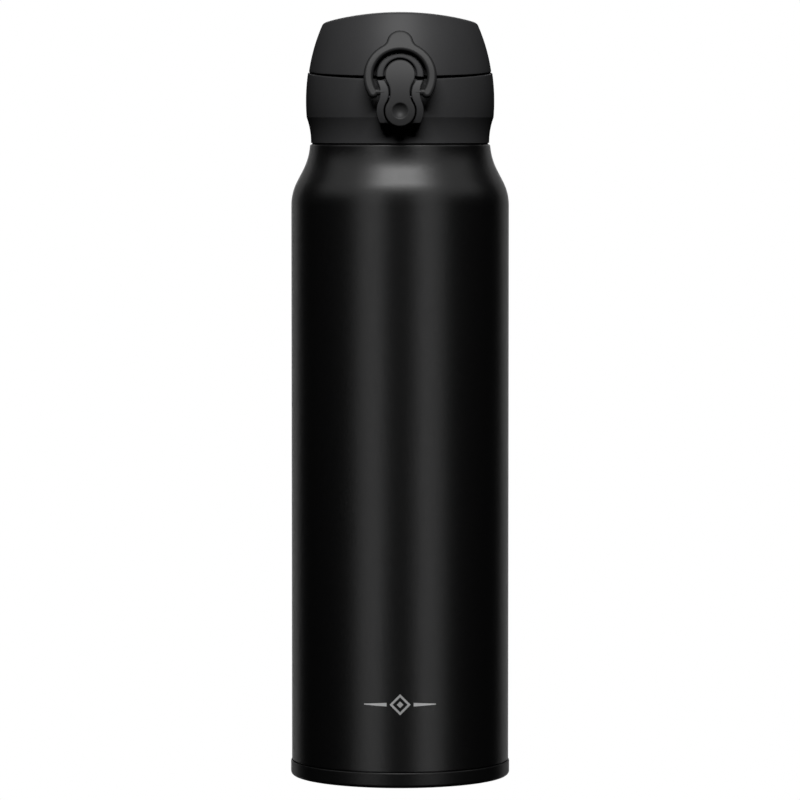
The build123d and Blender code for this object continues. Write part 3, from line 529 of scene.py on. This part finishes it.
def waistArc(disc, waist):  # hollow radius, its middle's distance and the angle where disc and hollow touch
    hollow = (latchHalf ** 2 + waist ** 2 - disc ** 2) / (2 * (disc - waist))
    return hollow, waist + hollow, degrees(atan2(latchHalf, waist + hollow))


def halfWidth(disc, waist, height):  # half width of the waisted outline at a height
    hollow, reach, touch = waistArc(disc, waist)
    along = abs(height - latchMiddle)
    if along < latchHalf - disc * sin(radians(touch)):
        return reach - sqrt(hollow ** 2 - along ** 2)
    return sqrt(max(disc ** 2 - (along - latchHalf) ** 2, 0.0))


# Collar of the stopper unit

collar = {"foot": (30.7, at(0.45)), "waist": (31.0, at(4.6)), "crease": (32.2, at(9.2)), "creaseHalf": 0.12,
          "barrel": (32.43, at(14.4)), "top": (31.2, at(27.6)), "wall": 2.2, "deckLow": at(14.8), "deckTop": at(16.8),
          "flow": 12.0, "inside": 28.1, "seat": (29.7, at(1.5)), "skirt": (30.3, at(0.04)), "rimRound": 0.32,
          "footRound": 0.3, "footRings": 10, "barrelRings": 14, "innerRings": 4, "steps": 256}
rimCircle = circleThrough((-33.5, at(21.85)), (0.0, at(24.55)), (33.5, at(26.51)))
collarThread = {**neckThread, "root": 28.1, "start": at(4.6), "turns": 1.25, "fadeSteps": 10}
cheeks = {"low": at(7.1), "high": at(21.7), "root": -30.6, "across": 6, "along": 44, "edgeRound": 0.55}
cheekFront = circleThrough((-36.0, cheeks["low"]), (-37.5, at(14.3)), (-36.2, cheeks["high"]))
ears = {"inside": 8.3, "thick": 3.0, "edgeRound": 0.35, "circleSteps": 48,
        "circles": ((hingeBack, hingeHeight, 2.6), (31.0, at(11.3), 1.0), (31.0, at(18.8), 1.0))}


def rimHeight(back):  # height of the collar's edge, lower at the front
    return crownOf(rimCircle, back)


def makeCollar(s):
    bm = bmesh.new()
    footArc = circleThrough(s["foot"], s["waist"], s["crease"])
    barrelArc = circleThrough(s["crease"], s["barrel"], s["top"])
    footSide = -1 if footArc[0] > s["foot"][0] else 1
    low, crease = s["foot"][1], s["crease"][1]
    under, over = crease - s["creaseHalf"], crease + s["creaseHalf"]
    heights = [low + (crease - low) * i / s["footRings"] for i in range(s["footRings"] + 1)]
    heights.insert(-1, under)
    places = [("fixed", sideOf(footArc, height, footSide), height) for height in heights]
    places.append(("fixed", sideOf(barrelArc, over, 1), over))
    places += [("share", 0, i / s["barrelRings"]) for i in range(1, s["barrelRings"] + 1)]
    rim = len(places) - 1
    places += [("innerShare", 0, 1 - i / s["innerRings"]) for i in range(s["innerRings"] + 1)]
    places += [("fixed", *place) for place in (
        (s["flow"], s["deckTop"]), (s["flow"], s["deckLow"]), (s["inside"], s["deckLow"]),
        (s["inside"], s["seat"][1]), s["seat"], (s["seat"][0], s["skirt"][1]), s["skirt"], (s["skirt"][0], low),
        (s["foot"][0], low))]
    rings = ringTube(bm, len(places), s["steps"])
    for index, (kind, radius, height) in enumerate(places):
        for vert in rings[index]:
            side, back = vert.co.xy.normalized()
            if kind != "fixed":
                share, radius = height, s["barrel"][0]
                for _ in range(4):
                    top = rimHeight(back * radius)
                    foot = over if kind == "share" else s["deckTop"]
                    place = foot + (top - foot) * share
                    radius = sideOf(barrelArc, place, 1) - (0 if kind == "share" else s["wall"])
            else:
                place = height
            vert.co = (mm(side * radius), mm(back * radius), mm(place))
    roundEdges(bm, ringEdges(rings[rim]) + ringEdges(rings[rim + 1]), s["rimRound"], 4)
    roundEdges(bm, ringEdges(rings[0]), s["footRound"], 3)
    bmesh.ops.remove_doubles(bm, verts=bm.verts, dist=mm(0.002))
    threadRidge(bm, collarThread, inward=True)
    addCheeks(bm, cheeks)
    addEars(bm, ears)
    return newPiece(bm, "collar", "stopper", lidPlastic, ["stopper_body"])


def addCheeks(bm, s):  # raised side walls that the latch lever sits between
    f = latchForm
    for side in (-1, 1):
        part = bmesh.new()
        bmesh.ops.create_grid(part, x_segments=s["across"], y_segments=s["along"], size=0.5)
        for vert in part.verts:
            across, height = vert.co.x + 0.5, s["low"] + (s["high"] - s["low"]) * (vert.co.y + 0.5)
            inner = halfWidth(f["disc"] + f["gap"], f["waist"] + f["gap"], height)
            outer = halfWidth(f["disc"] + f["gap"] + f["rail"], f["waist"] + f["gap"] + f["waistRail"], height)
            place = side * (inner + (outer - inner) * across)
            vert.co = (mm(place), mm(sideOf(cheekFront, height, -1)), mm(height))
        backs = set(pushOut(part, part.faces[:]))
        for vert in backs:
            vert.co.y = mm(s["root"])
        roundEdges(part, [e for e in sharpEdges(part, 50) if not set(e.verts) & backs], s["edgeRound"], 5)
        joinInto(bm, part)


def turnSize(a, b, c):  # positive where the way from a over b to c turns left
    return (b[0] - a[0]) * (c[1] - a[1]) - (b[1] - a[1]) * (c[0] - a[0])


def hullOf(points):  # flat outline stretched round a set of points, anticlockwise
    def halfHull(ordered):
        kept = []
        for point in ordered:
            while len(kept) > 1 and turnSize(kept[-2], kept[-1], point) <= 1e-9:
                kept.pop()
            kept.append(point)
        return kept[:-1]

    return halfHull(sorted(points)) + halfHull(sorted(points, reverse=True))


def addEars(bm, s):  # hinge ears on the collar's back
    turns = [2 * pi * i / s["circleSteps"] for i in range(s["circleSteps"])]
    points = [(back + radius * cos(turn), height + radius * sin(turn))
              for back, height, radius in s["circles"] for turn in turns]
    for start in (s["inside"], -s["inside"] - s["thick"]):
        part = bmesh.new()
        part.faces.new([part.verts.new((0, mm(back), mm(height))) for back, height in hullOf(points)])
        roundEdges(part, thickenAcross(part, s["thick"]), s["edgeRound"], 3)
        bmesh.ops.translate(part, verts=part.verts, vec=(mm(start), 0, 0))
        joinInto(bm, part)


makeCollar(collar)


# Lid

lid = {"low": (31.75, at(21.8)), "mid": (29.67, at(32.9)), "high": (25.5, at(43.6)), "apex": at(44.85),
       "vault": 110.0, "wall": 1.8, "partHeight": at(24.9), "partTilt": 3.3, "edgeBevel": 1.2, "rimRound": 0.25,
       "innerTopRings": 6, "innerRings": 8, "sideRings": 22, "topRings": 14, "steps": 256}
lidFlank = circleThrough(lid["low"], lid["mid"], lid["high"])
lidArch = {"foot": at(23.0), "root": -29.7, "sweep": 68.8, "depth": 10.0, "edgeRound": 0.6, "steps": 72}
tongue = {"half": 8.0, "lap": 0.02, "front": 32.85, "clear": 0.1, "underLid": 29.5, "inLid": (27.9, at(33.8)),
          "bends": ((30.6, at(33.8)), (34.6, at(30.6)), (37.3, at(23.8))), "bendRound": 1.6, "knuckle": 2.6,
          "knuckleSteps": 16, "slotHalf": 4.3, "slotRadius": 2.9, "slotHeel": 0.57, "edgeRound": 0.4}


def makeLid(s):
    bm = bmesh.new()
    places = [("inTop", i / s["innerTopRings"]) for i in range(s["innerTopRings"] + 1)]
    places += [("in", 1 - i / s["innerRings"]) for i in range(s["innerRings"] + 1)]
    rimIn, rimOut = len(places) - 1, len(places)
    places += [("out", i / s["sideRings"]) for i in range(s["sideRings"] + 1)]
    edge = len(places) - 1
    places += [("outTop", 1 - i / s["topRings"]) for i in range(1, s["topRings"] + 1)]
    rings = ringTube(bm, len(places), s["steps"])
    lean = tan(radians(s["partTilt"]))

    def topAt(across, inset):
        return s["apex"] - s["vault"] + sqrt((s["vault"] - inset) ** 2 - across ** 2)

    for index, (kind, share) in enumerate(places):
        inset = s["wall"] if kind.startswith("in") else 0.0
        for vert in rings[index]:
            side, back = vert.co.xy.normalized()
            radius = s["low"][0] - inset
            part = 1.0 if kind.endswith("Top") else share
            for _ in range(6):
                foot = s["partHeight"] + back * radius * lean
                height = foot + (topAt(side * radius, inset) - foot) * part
                radius = sideOf(lidFlank, height, 1) - inset
            if kind.endswith("Top"):
                radius *= share
                height = topAt(side * radius, inset)
            vert.co = (mm(side * radius), mm(back * radius), mm(height))
    roundEdges(bm, ringEdges(rings[edge]), s["edgeBevel"], 8)
    roundEdges(bm, ringEdges(rings[rimOut]) + ringEdges(rings[rimIn]), s["rimRound"], 3)
    addArch(bm, lidArch)
    addTongue(bm, tongue)
    return newPiece(bm, "lidShell", "lid", lidPlastic, ["lid_shell"])


def addArch(bm, s):  # half ring on the lid's front, round the lever's upper end
    f = latchForm
    part = bmesh.new()
    inner, outer = f["disc"] + f["gap"], f["disc"] + f["gap"] + f["rail"]
    start = -degrees(asin((f["high"] - s["foot"]) / (inner + outer) * 2))
    section = ((inner, s["depth"]), (inner, 0.0), (outer, 0.0), (outer, s["depth"]))
    verts = [part.verts.new((mm(r * cos(radians(start))), mm(back), mm(f["high"] + r * sin(radians(start)))))
             for r, back in section]
    for i in range(len(verts)):
        part.edges.new((verts[i - 1], verts[i]))
    for vert in verts[1:3]:
        bmesh.ops.bevel(part, geom=[vert], offset=mm(s["edgeRound"]), offset_type="OFFSET", segments=5, profile=0.5,
                        affect="VERTICES", material=-1)
    bmesh.ops.spin(part, geom=part.verts[:] + part.edges[:], cent=(0, 0, mm(f["high"])), axis=frontAxis,
                   angle=radians(180 - 2 * start), steps=s["steps"], use_merge=False)
    bmesh.ops.holes_fill(part, edges=[e for e in part.edges if e.is_boundary], sides=0)
    for vert in part.verts:
        height = vert.co.z * 1000 - hingeHeight
        front = hingeBack - sqrt(s["sweep"] ** 2 - height ** 2)
        vert.co.y = mm(s["root"]) if vert.co.y > mm(s["depth"] / 2) else vert.co.y + mm(front)
    joinInto(bm, part)


# Hinge tongue behind the lid: two knuckles, and a web that leaves room for the spring.
def addTongue(bm, s):
    web = s["slotHalf"] + s["lap"]
    for near, far, slotted in ((-s["half"], -s["slotHalf"], False), (-web, web, True),
                               (s["slotHalf"], s["half"], False)):
        joinInto(bm, tonguePart(s, near, far, slotted))


def tonguePart(s, near, far, slotted):
    low = lid["partHeight"] + s["front"] * tan(radians(lid["partTilt"])) + s["clear"]
    radius, fromAngle, toAngle = s["knuckle"], 0.0, -pi
    frontFoot, heelFoot = (s["front"], hingeHeight), (hingeBack + s["knuckle"], hingeHeight)
    if slotted:  # the web stops short of the spring's room
        radius = s["slotRadius"]
        frontRise = sqrt(radius ** 2 - (hingeBack - s["front"]) ** 2)
        heelReach = s["bends"][-1][0] - hingeBack + s["slotHeel"]
        heelRise = sqrt(radius ** 2 - heelReach ** 2)
        frontFoot, heelFoot = (s["front"], hingeHeight + frontRise), (hingeBack + heelReach, hingeHeight + heelRise)
        fromAngle, toAngle = atan2(heelRise, heelReach), atan2(frontRise, s["front"] - hingeBack)
    part = bmesh.new()
    outline = [frontFoot, (s["front"], low), (s["underLid"], low), s["inLid"], *s["bends"], heelFoot]
    for i in range(1, s["knuckleSteps"]):
        angle = fromAngle + (toAngle - fromAngle) * i / s["knuckleSteps"]
        outline.append((hingeBack + radius * cos(angle), hingeHeight + radius * sin(angle)))
    verts = [part.verts.new((0, mm(back), mm(height))) for back, height in outline]
    part.faces.new(verts)
    bmesh.ops.bevel(part, geom=verts[4:7], offset=mm(s["bendRound"]), offset_type="OFFSET", segments=5, profile=0.5,
                    affect="VERTICES", material=-1)
    edges = thickenAcross(part, far - near)
    bmesh.ops.translate(part, verts=part.verts, vec=(mm(near), 0, 0))
    if not slotted:  # only the outer side's edges are rounded
        outside = mm(s["half"]) - 1e-6
        roundEdges(part, [e for e in edges if min(abs(v.co.x) for v in e.verts) > outside], s["edgeRound"], 3)
    return part


makeLid(lid)


# Latch lever

lever = {"frontCurve": ((-37.6, at(6.0)), (-38.0, at(13.0)), (-34.7, at(28.8))), "backLow": -35.0, "backHigh": -33.0,
         "bendLow": at(17.8), "bendHigh": at(20.3), "thickness": 3.0, "skin": 0.3, "roundDepth": 1.0,
         "edgeRound": 0.42, "dimple": at(11.4), "dimpleRadius": 2.75, "dimpleDepth": 1.4, "dimpleRim": 0.55,
         "dimpleGain": 1.4, "noseHalf": 2.4, "noseLow": at(25.7), "noseHigh": at(27.4), "noseFront": -31.5,
         "noseDepth": 2.6, "noseRound": 0.25}
leverSlices = (("Z", at(6.7), at(8.2), 0.5), ("Z", at(8.4), at(14.4), 0.2), ("Z", at(14.9), at(28.0), 0.7),
               ("X", -3.0, 3.0, 0.2))  # from, to and pitch
leverFront = circleThrough(*lever["frontCurve"])


def makeLever(s):
    bm = bmesh.new()
    f = latchForm
    _, reach, touch = waistArc(f["disc"], f["waist"])
    vert = bm.verts.new((0, 0, mm(f["low"] - f["disc"])))
    vert = arcOn(bm, vert, (0, f["low"]), 90 + touch, 40)
    vert = arcOn(bm, vert, (reach, latchMiddle), -2 * touch, 20)
    arcOn(bm, vert, (0, f["high"]), 90 + touch, 40)
    front = thicken(bm, mirrorAndFill(bm), s["thickness"])
    roundEdges(bm, front, s["edgeRound"], 4)
    for cuts in leverSlices:
        slicePlanes(bm, *cuts)
    for vert in bm.verts:
        height, depth = vert.co.z * 1000, vert.co.y * 1000
        share = min(max((height - s["bendLow"]) / (s["bendHigh"] - s["bendLow"]), 0.0), 1.0)
        back = s["backLow"] + (s["backHigh"] - s["backLow"]) * share
        face = sideOf(leverFront, height, -1)
        away = sqrt((vert.co.x * 1000) ** 2 + (height - s["dimple"]) ** 2) / s["dimpleRadius"]
        if depth < s["skin"]:
            bowl = max(1.0 - away ** 2, 0.0)
            face += s["dimpleDepth"] * bowl * min(1.0, s["dimpleRim"] + s["dimpleGain"] * bowl)
        if depth > s["roundDepth"]:
            vert.co.y = mm(face + (back - face) * depth / s["thickness"])
        else:
            vert.co.y = mm(face + depth)
    nose = bmesh.new()
    bmesh.ops.create_cube(nose, size=1.0)
    noseSize = (mm(2 * s["noseHalf"]), mm(s["noseDepth"]), mm(s["noseHigh"] - s["noseLow"]))
    nosePlace = (0, mm(s["noseFront"] - s["noseDepth"] / 2), mm((s["noseLow"] + s["noseHigh"]) / 2))
    bmesh.ops.scale(nose, verts=nose.verts, vec=noseSize)
    bmesh.ops.translate(nose, verts=nose.verts, vec=nosePlace)
    roundEdges(nose, nose.edges[:], s["noseRound"], 2)
    joinInto(bm, nose)
    return newPiece(bm, "latchLever", "lever", leverPlastic, ["latch_lever"])


makeLever(lever)


# Lock ring

lockRing = {"pivot": (-36.4, at(17.6)), "tilt": 13.8, "thickness": 2.4, "outer": 12.35, "inner": 9.14, "middle": 5.4,
            "endAngle": 32.0, "tab": 4.5, "tabUp": 17.2, "rootRound": 3.2, "stub": 0.9, "stubInner": 5.25,
            "boss": 1.12, "bossInner": 6.95, "bossRound": 0.12, "bossSteps": 40, "edgeRound": 1.05,
            "backRound": 0.3, "fallStart": 7.0, "fallEnd": 21.3, "fallPitch": 0.5, "fall": 0.0075}


def makeRing(s):
    bm = bmesh.new()
    span = s["tabUp"] - s["middle"]
    ringReach, tabReach = s["outer"] + s["rootRound"], s["tab"] + s["rootRound"]
    climb = (ringReach ** 2 - tabReach ** 2 + span ** 2) / (2 * span)
    rootMiddle = (sqrt(ringReach ** 2 - climb ** 2), s["middle"] + climb)
    tabAngle = degrees(atan2(rootMiddle[1] - s["tabUp"], rootMiddle[0]))
    ringAngle = degrees(atan2(climb, rootMiddle[0]))
    endRadius = (s["outer"] - s["inner"]) / 2
    endReach = s["outer"] - endRadius
    endAngle = radians(s["endAngle"])
    endMiddle = (endReach * cos(endAngle), s["middle"] - endReach * sin(endAngle))
    vert = bm.verts.new((0, 0, mm(s["tabUp"] + s["tab"])))
    vert = arcOn(bm, vert, (0, s["tabUp"]), tabAngle - 90, 26)
    vert = arcOn(bm, vert, rootMiddle, ringAngle - tabAngle, 14)
    vert = arcOn(bm, vert, (0, s["middle"]), -s["endAngle"] - ringAngle, 44)
    vert = arcOn(bm, vert, endMiddle, -180, 18)
    arcOn(bm, vert, (0, s["middle"]), 90 + s["endAngle"], 60)
    front = thicken(bm, mirrorAndFill(bm), s["thickness"])
    back = [e for e in sharpEdges(bm, 60) if min(v.co.y for v in e.verts) > mm(s["thickness"] / 2)]
    roundEdges(bm, front, s["edgeRound"], 6)
    roundEdges(bm, [e for e in back if e.is_valid], s["backRound"], 2)
    slicePlanes(bm, "Z", s["fallStart"], s["fallEnd"], s["fallPitch"])
    for vert in bm.verts:
        above = max(vert.co.z * 1000 - s["fallStart"], 0.0)
        share = 1.0 - min(vert.co.y * 1000 / s["thickness"], 1.0)
        vert.co.y += mm(s["fall"] * above ** 2 * share)
    bmesh.ops.translate(bm, verts=bm.verts, vec=(0, mm(-s["thickness"] / 2), 0))
    pivotBack, pivotHeight = mm(s["pivot"][0]), mm(s["pivot"][1])
    lift = Matrix.Translation((0, pivotBack, pivotHeight))
    bmesh.ops.transform(bm, matrix=lift @ Matrix.Rotation(-radians(s["tilt"]), 4, "X"), verts=bm.verts)
    for side in (-1, 1):
        for radius, inner in ((s["stub"], s["stubInner"]), (s["boss"], s["bossInner"])):
            part = bmesh.new()
            length = endMiddle[0] - inner
            bmesh.ops.create_cone(part, cap_ends=True, segments=s["bossSteps"], depth=mm(length),
                                  radius1=mm(radius), radius2=mm(radius))
            bmesh.ops.rotate(part, verts=part.verts, cent=(0, 0, 0), matrix=Matrix.Rotation(pi / 2, 3, "Y"))
            bmesh.ops.translate(part, verts=part.verts,
                                vec=(mm(side * (inner + length / 2)), pivotBack, pivotHeight))
            roundEdges(part, sharpEdges(part, 60), s["bossRound"], 2)
            joinInto(bm, part)
    return newPiece(bm, "lockRing", "ring", ringPlastic, ["lock_ring"])


makeRing(lockRing)


# Printed emblem, low on the front

emblem = {"middle": 28.6, "lift": 0.03, "sink": 0.05, "lozengeHalf": (3.6, 3.6), "line": 0.75, "core": 1.15,
          "barStart": 4.6, "barEnd": 12.4, "barHalf": 0.62, "tipHalf": 0.16, "sliceReach": 12.0, "slicePitch": 0.8}
emblemInk = metalMaterial("emblemInk", {
    "lineScale": 900.0, "grainScale": 5200.0, "cloudScale": 160.0, "lineShare": 0.1, "depth": 0.01, "strength": 0.4,
    "dark": (0.62, 0.62, 0.62), "light": (0.78, 0.78, 0.78), "roughness": (0.42, 0.56)})


def makeEmblem(s):
    bm = bmesh.new()
    wide, tall = s["lozengeHalf"]
    corners = ((wide, 0), (0, tall), (-wide, 0), (0, -tall))
    inside = 1 - s["line"] * sqrt(wide ** 2 + tall ** 2) / (wide * tall)
    outer = [bm.verts.new((mm(x), 0, mm(z))) for x, z in corners]
    inner = [bm.verts.new((mm(x * inside), 0, mm(z * inside))) for x, z in corners]
    for i in range(4):
        bm.faces.new((outer[i - 1], outer[i], inner[i], inner[i - 1]))
    core = ((s["core"], 0), (0, s["core"]), (-s["core"], 0), (0, -s["core"]))
    bm.faces.new([bm.verts.new((mm(x), 0, mm(z))) for x, z in core])
    bar = ((s["barStart"], s["barHalf"]), (s["barEnd"], s["tipHalf"]),
           (s["barEnd"], -s["tipHalf"]), (s["barStart"], -s["barHalf"]))
    for side in (-1, 1):
        bm.faces.new([bm.verts.new((mm(side * x), 0, mm(z))) for x, z in bar])
    slicePlanes(bm, "X", -s["sliceReach"], s["sliceReach"], s["slicePitch"])
    bmesh.ops.recalc_face_normals(bm, faces=bm.faces)
    backs = set(pushOut(bm, bm.faces[:]))
    for vert in bm.verts:
        radius = jacket["radius"] + (-s["sink"] if vert in backs else s["lift"])
        turn = vert.co.x * 1000 / jacket["radius"]
        vert.co = (mm(radius * sin(turn)), mm(-radius * cos(turn)), vert.co.z + mm(s["middle"]))
    return newPiece(bm, "frontEmblem", "bottle", emblemInk)


makeEmblem(emblem)


# Finishes for the carried-over nodes

nodeFinishes = {
    "inner_bottle": bareSteel, "outer_bottom": bareSteel, "vacuum_seal": brazeMetal, "getter": getterMetal,
    "radiation_foil": copperFoil, "stopper_gasket": silicone, "stopper_plug": greyPlastic, "spout": satinPlastic,
    # the latch pin and spring get the near-black steel, painted shade for the gap round the lever
    "spout_gasket": silicone, "hinge_pin": wireSteel, "hinge_spring": wireSteel, "latch_pin": blackSteel,
    "latch_spring": blackSteel, "lid_liner": satinPlastic, "lid_gasket": silicone}
for nodeName, finish in nodeFinishes.items():
    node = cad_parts[nodeName]
    for place in node.material_slots:
        place.material = finish
    if not node.material_slots:
        node.data.materials.append(finish)
print("carried-over nodes finished")


# Studio, with its sizes in metres

studio = {"lensMm": 212.2, "sensorMm": 36.0, "clip": (0.05, 30.0), "distance": 1.63, "pitch": 3.343, "aim": 0.12990,
          "sideways": -0.00004, "floorSize": 9.0, "ambient": 0.004}


def flatMaterial(name, colour, strength):
    material = bpy.data.materials.new(name)
    material.use_nodes = True
    tree = material.node_tree
    tree.nodes.clear()
    glow = addNode(tree, "ShaderNodeEmission")
    glow.inputs["Color"].default_value = (*colour, 1)
    glow.inputs["Strength"].default_value = strength
    end = addNode(tree, "ShaderNodeOutputMaterial")
    tree.links.new(glow.outputs[0], end.inputs["Surface"])
    return material


def makeFloor(s):
    bm = bmesh.new()
    bmesh.ops.create_grid(bm, x_segments=1, y_segments=1, size=s["floorSize"] / 2)
    mesh = bpy.data.meshes.new("paleFloor")
    bm.to_mesh(mesh)
    bm.free()
    floor = bpy.data.objects.new("paleFloor", mesh)
    bpy.context.scene.collection.objects.link(floor)
    mesh.materials.append(flatMaterial("paleFloor", (1, 1, 1), 1.0))
    floor.visible_diffuse = False
    floor.visible_glossy = False
    floor.visible_shadow = False


def makeLamp(name, azimuth, elevation, distance, size, power, aimHeight, lit=None):
    light = bpy.data.lights.new(name, "AREA")
    light.shape = "RECTANGLE"
    light.size, light.size_y = size
    light.energy = power
    lamp = bpy.data.objects.new(name, light)
    bpy.context.scene.collection.objects.link(lamp)
    a, e = radians(azimuth), radians(elevation)
    target = Vector((0, 0, aimHeight))
    lamp.location = target + distance * Vector((sin(a) * cos(e), -cos(a) * cos(e), sin(e)))
    lamp.rotation_euler = (target - lamp.location).to_track_quat("-Z", "Y").to_euler()
    lamp.visible_camera = False
    lamp.light_linking.receiver_collection = lit


def litGroup(name, pieces):  # lamps given this group light only its pieces, as flags do in a studio
    lit = bpy.data.collections.new(name)
    for piece in pieces:
        lit.objects.link(piece)
    return lit


makeFloor(studio)
bodyPieces = [bpy.data.objects[name] for name in ("bodyShell", "baseCap", "frontEmblem")]
otherPieces = [o for o in bpy.data.objects if o.type == "MESH" and o not in bodyPieces and o.name != "paleFloor"]
onBody, onOthers = litGroup("bodyLit", bodyPieces), litGroup("othersLit", otherPieces)

# Azimuth and elevation from the middle, distance, size, power and the height it faces.
pairedLamps = {"frontStrip": (24.5, 3, 1.6, (0.16, 1.9), 2.6, 0.13),
               "outerStrip": (38.0, 3, 1.6, (0.30, 1.9), 2.1, 0.13),
               "rimStrip": (146.0, 0, 1.5, (0.28, 1.6), 0.75, 0.13),
               "backdropEdge": (166.0, 0, 1.5, (0.30, 1.6), 1.1, 0.13),
               "sideTop": (74.0, 44, 1.5, (1.4, 1.3), 3.4, 0.21)}
singleLamps = {"plasticFill": (0, 46, 1.5, (1.0, 0.45), 34.0, 0.23, onOthers),
               "shoulderSoftbox": (0, 55, 1.5, (1.15, 0.38), 12.0, 0.23, onBody),
               "shoulderSkirt": (0, 50, 1.5, (2.0, 0.8), 6.0, 0.21, onBody),
               "rearSoftbox": (180, 46, 1.5, (0.6, 0.4), 6.0, 0.2),
               "rearFill": (180, 26, 1.5, (0.5, 0.5), 3.0, 0.15)}
for side in (-1, 1):
    for name, (azimuth, *rest) in pairedLamps.items():
        makeLamp(name, side * azimuth, *rest, onBody)
for name, settings in singleLamps.items():
    makeLamp(name, *settings)

world = bpy.data.worlds.new("paleStudio")
bpy.context.scene.world = world
world.use_nodes = True
tree = world.node_tree
tree.nodes.clear()
seen = addNode(tree, "ShaderNodeLightPath")
bright = addNode(tree, "ShaderNodeBackground")
bright.inputs["Color"].default_value = (1, 1, 1, 1)
dim = addNode(tree, "ShaderNodeBackground")
dim.inputs["Color"].default_value = (1, 1, 1, 1)
dim.inputs["Strength"].default_value = studio["ambient"]
pick = addNode(tree, "ShaderNodeMixShader")
end = addNode(tree, "ShaderNodeOutputWorld")
tree.links.new(seen.outputs["Is Camera Ray"], pick.inputs["Fac"])
tree.links.new(dim.outputs[0], pick.inputs[1])
tree.links.new(bright.outputs[0], pick.inputs[2])
tree.links.new(pick.outputs[0], end.inputs["Surface"])

camera = bpy.data.cameras.new("frontView")
camera.lens, camera.sensor_width = studio["lensMm"], studio["sensorMm"]
camera.clip_start, camera.clip_end = studio["clip"]
viewer = bpy.data.objects.new("frontView", camera)
bpy.context.scene.collection.objects.link(viewer)
pitch = radians(studio["pitch"])
viewer.location = (studio["sideways"], -studio["distance"] * cos(pitch),
                   studio["aim"] + studio["distance"] * sin(pitch))
viewer.rotation_euler = (pi / 2 - pitch, 0, 0)
bpy.context.scene.camera = viewer
bpy.context.scene.view_settings.view_transform = "Standard"
bpy.context.scene.view_settings.look = "None"
print("studio ready")
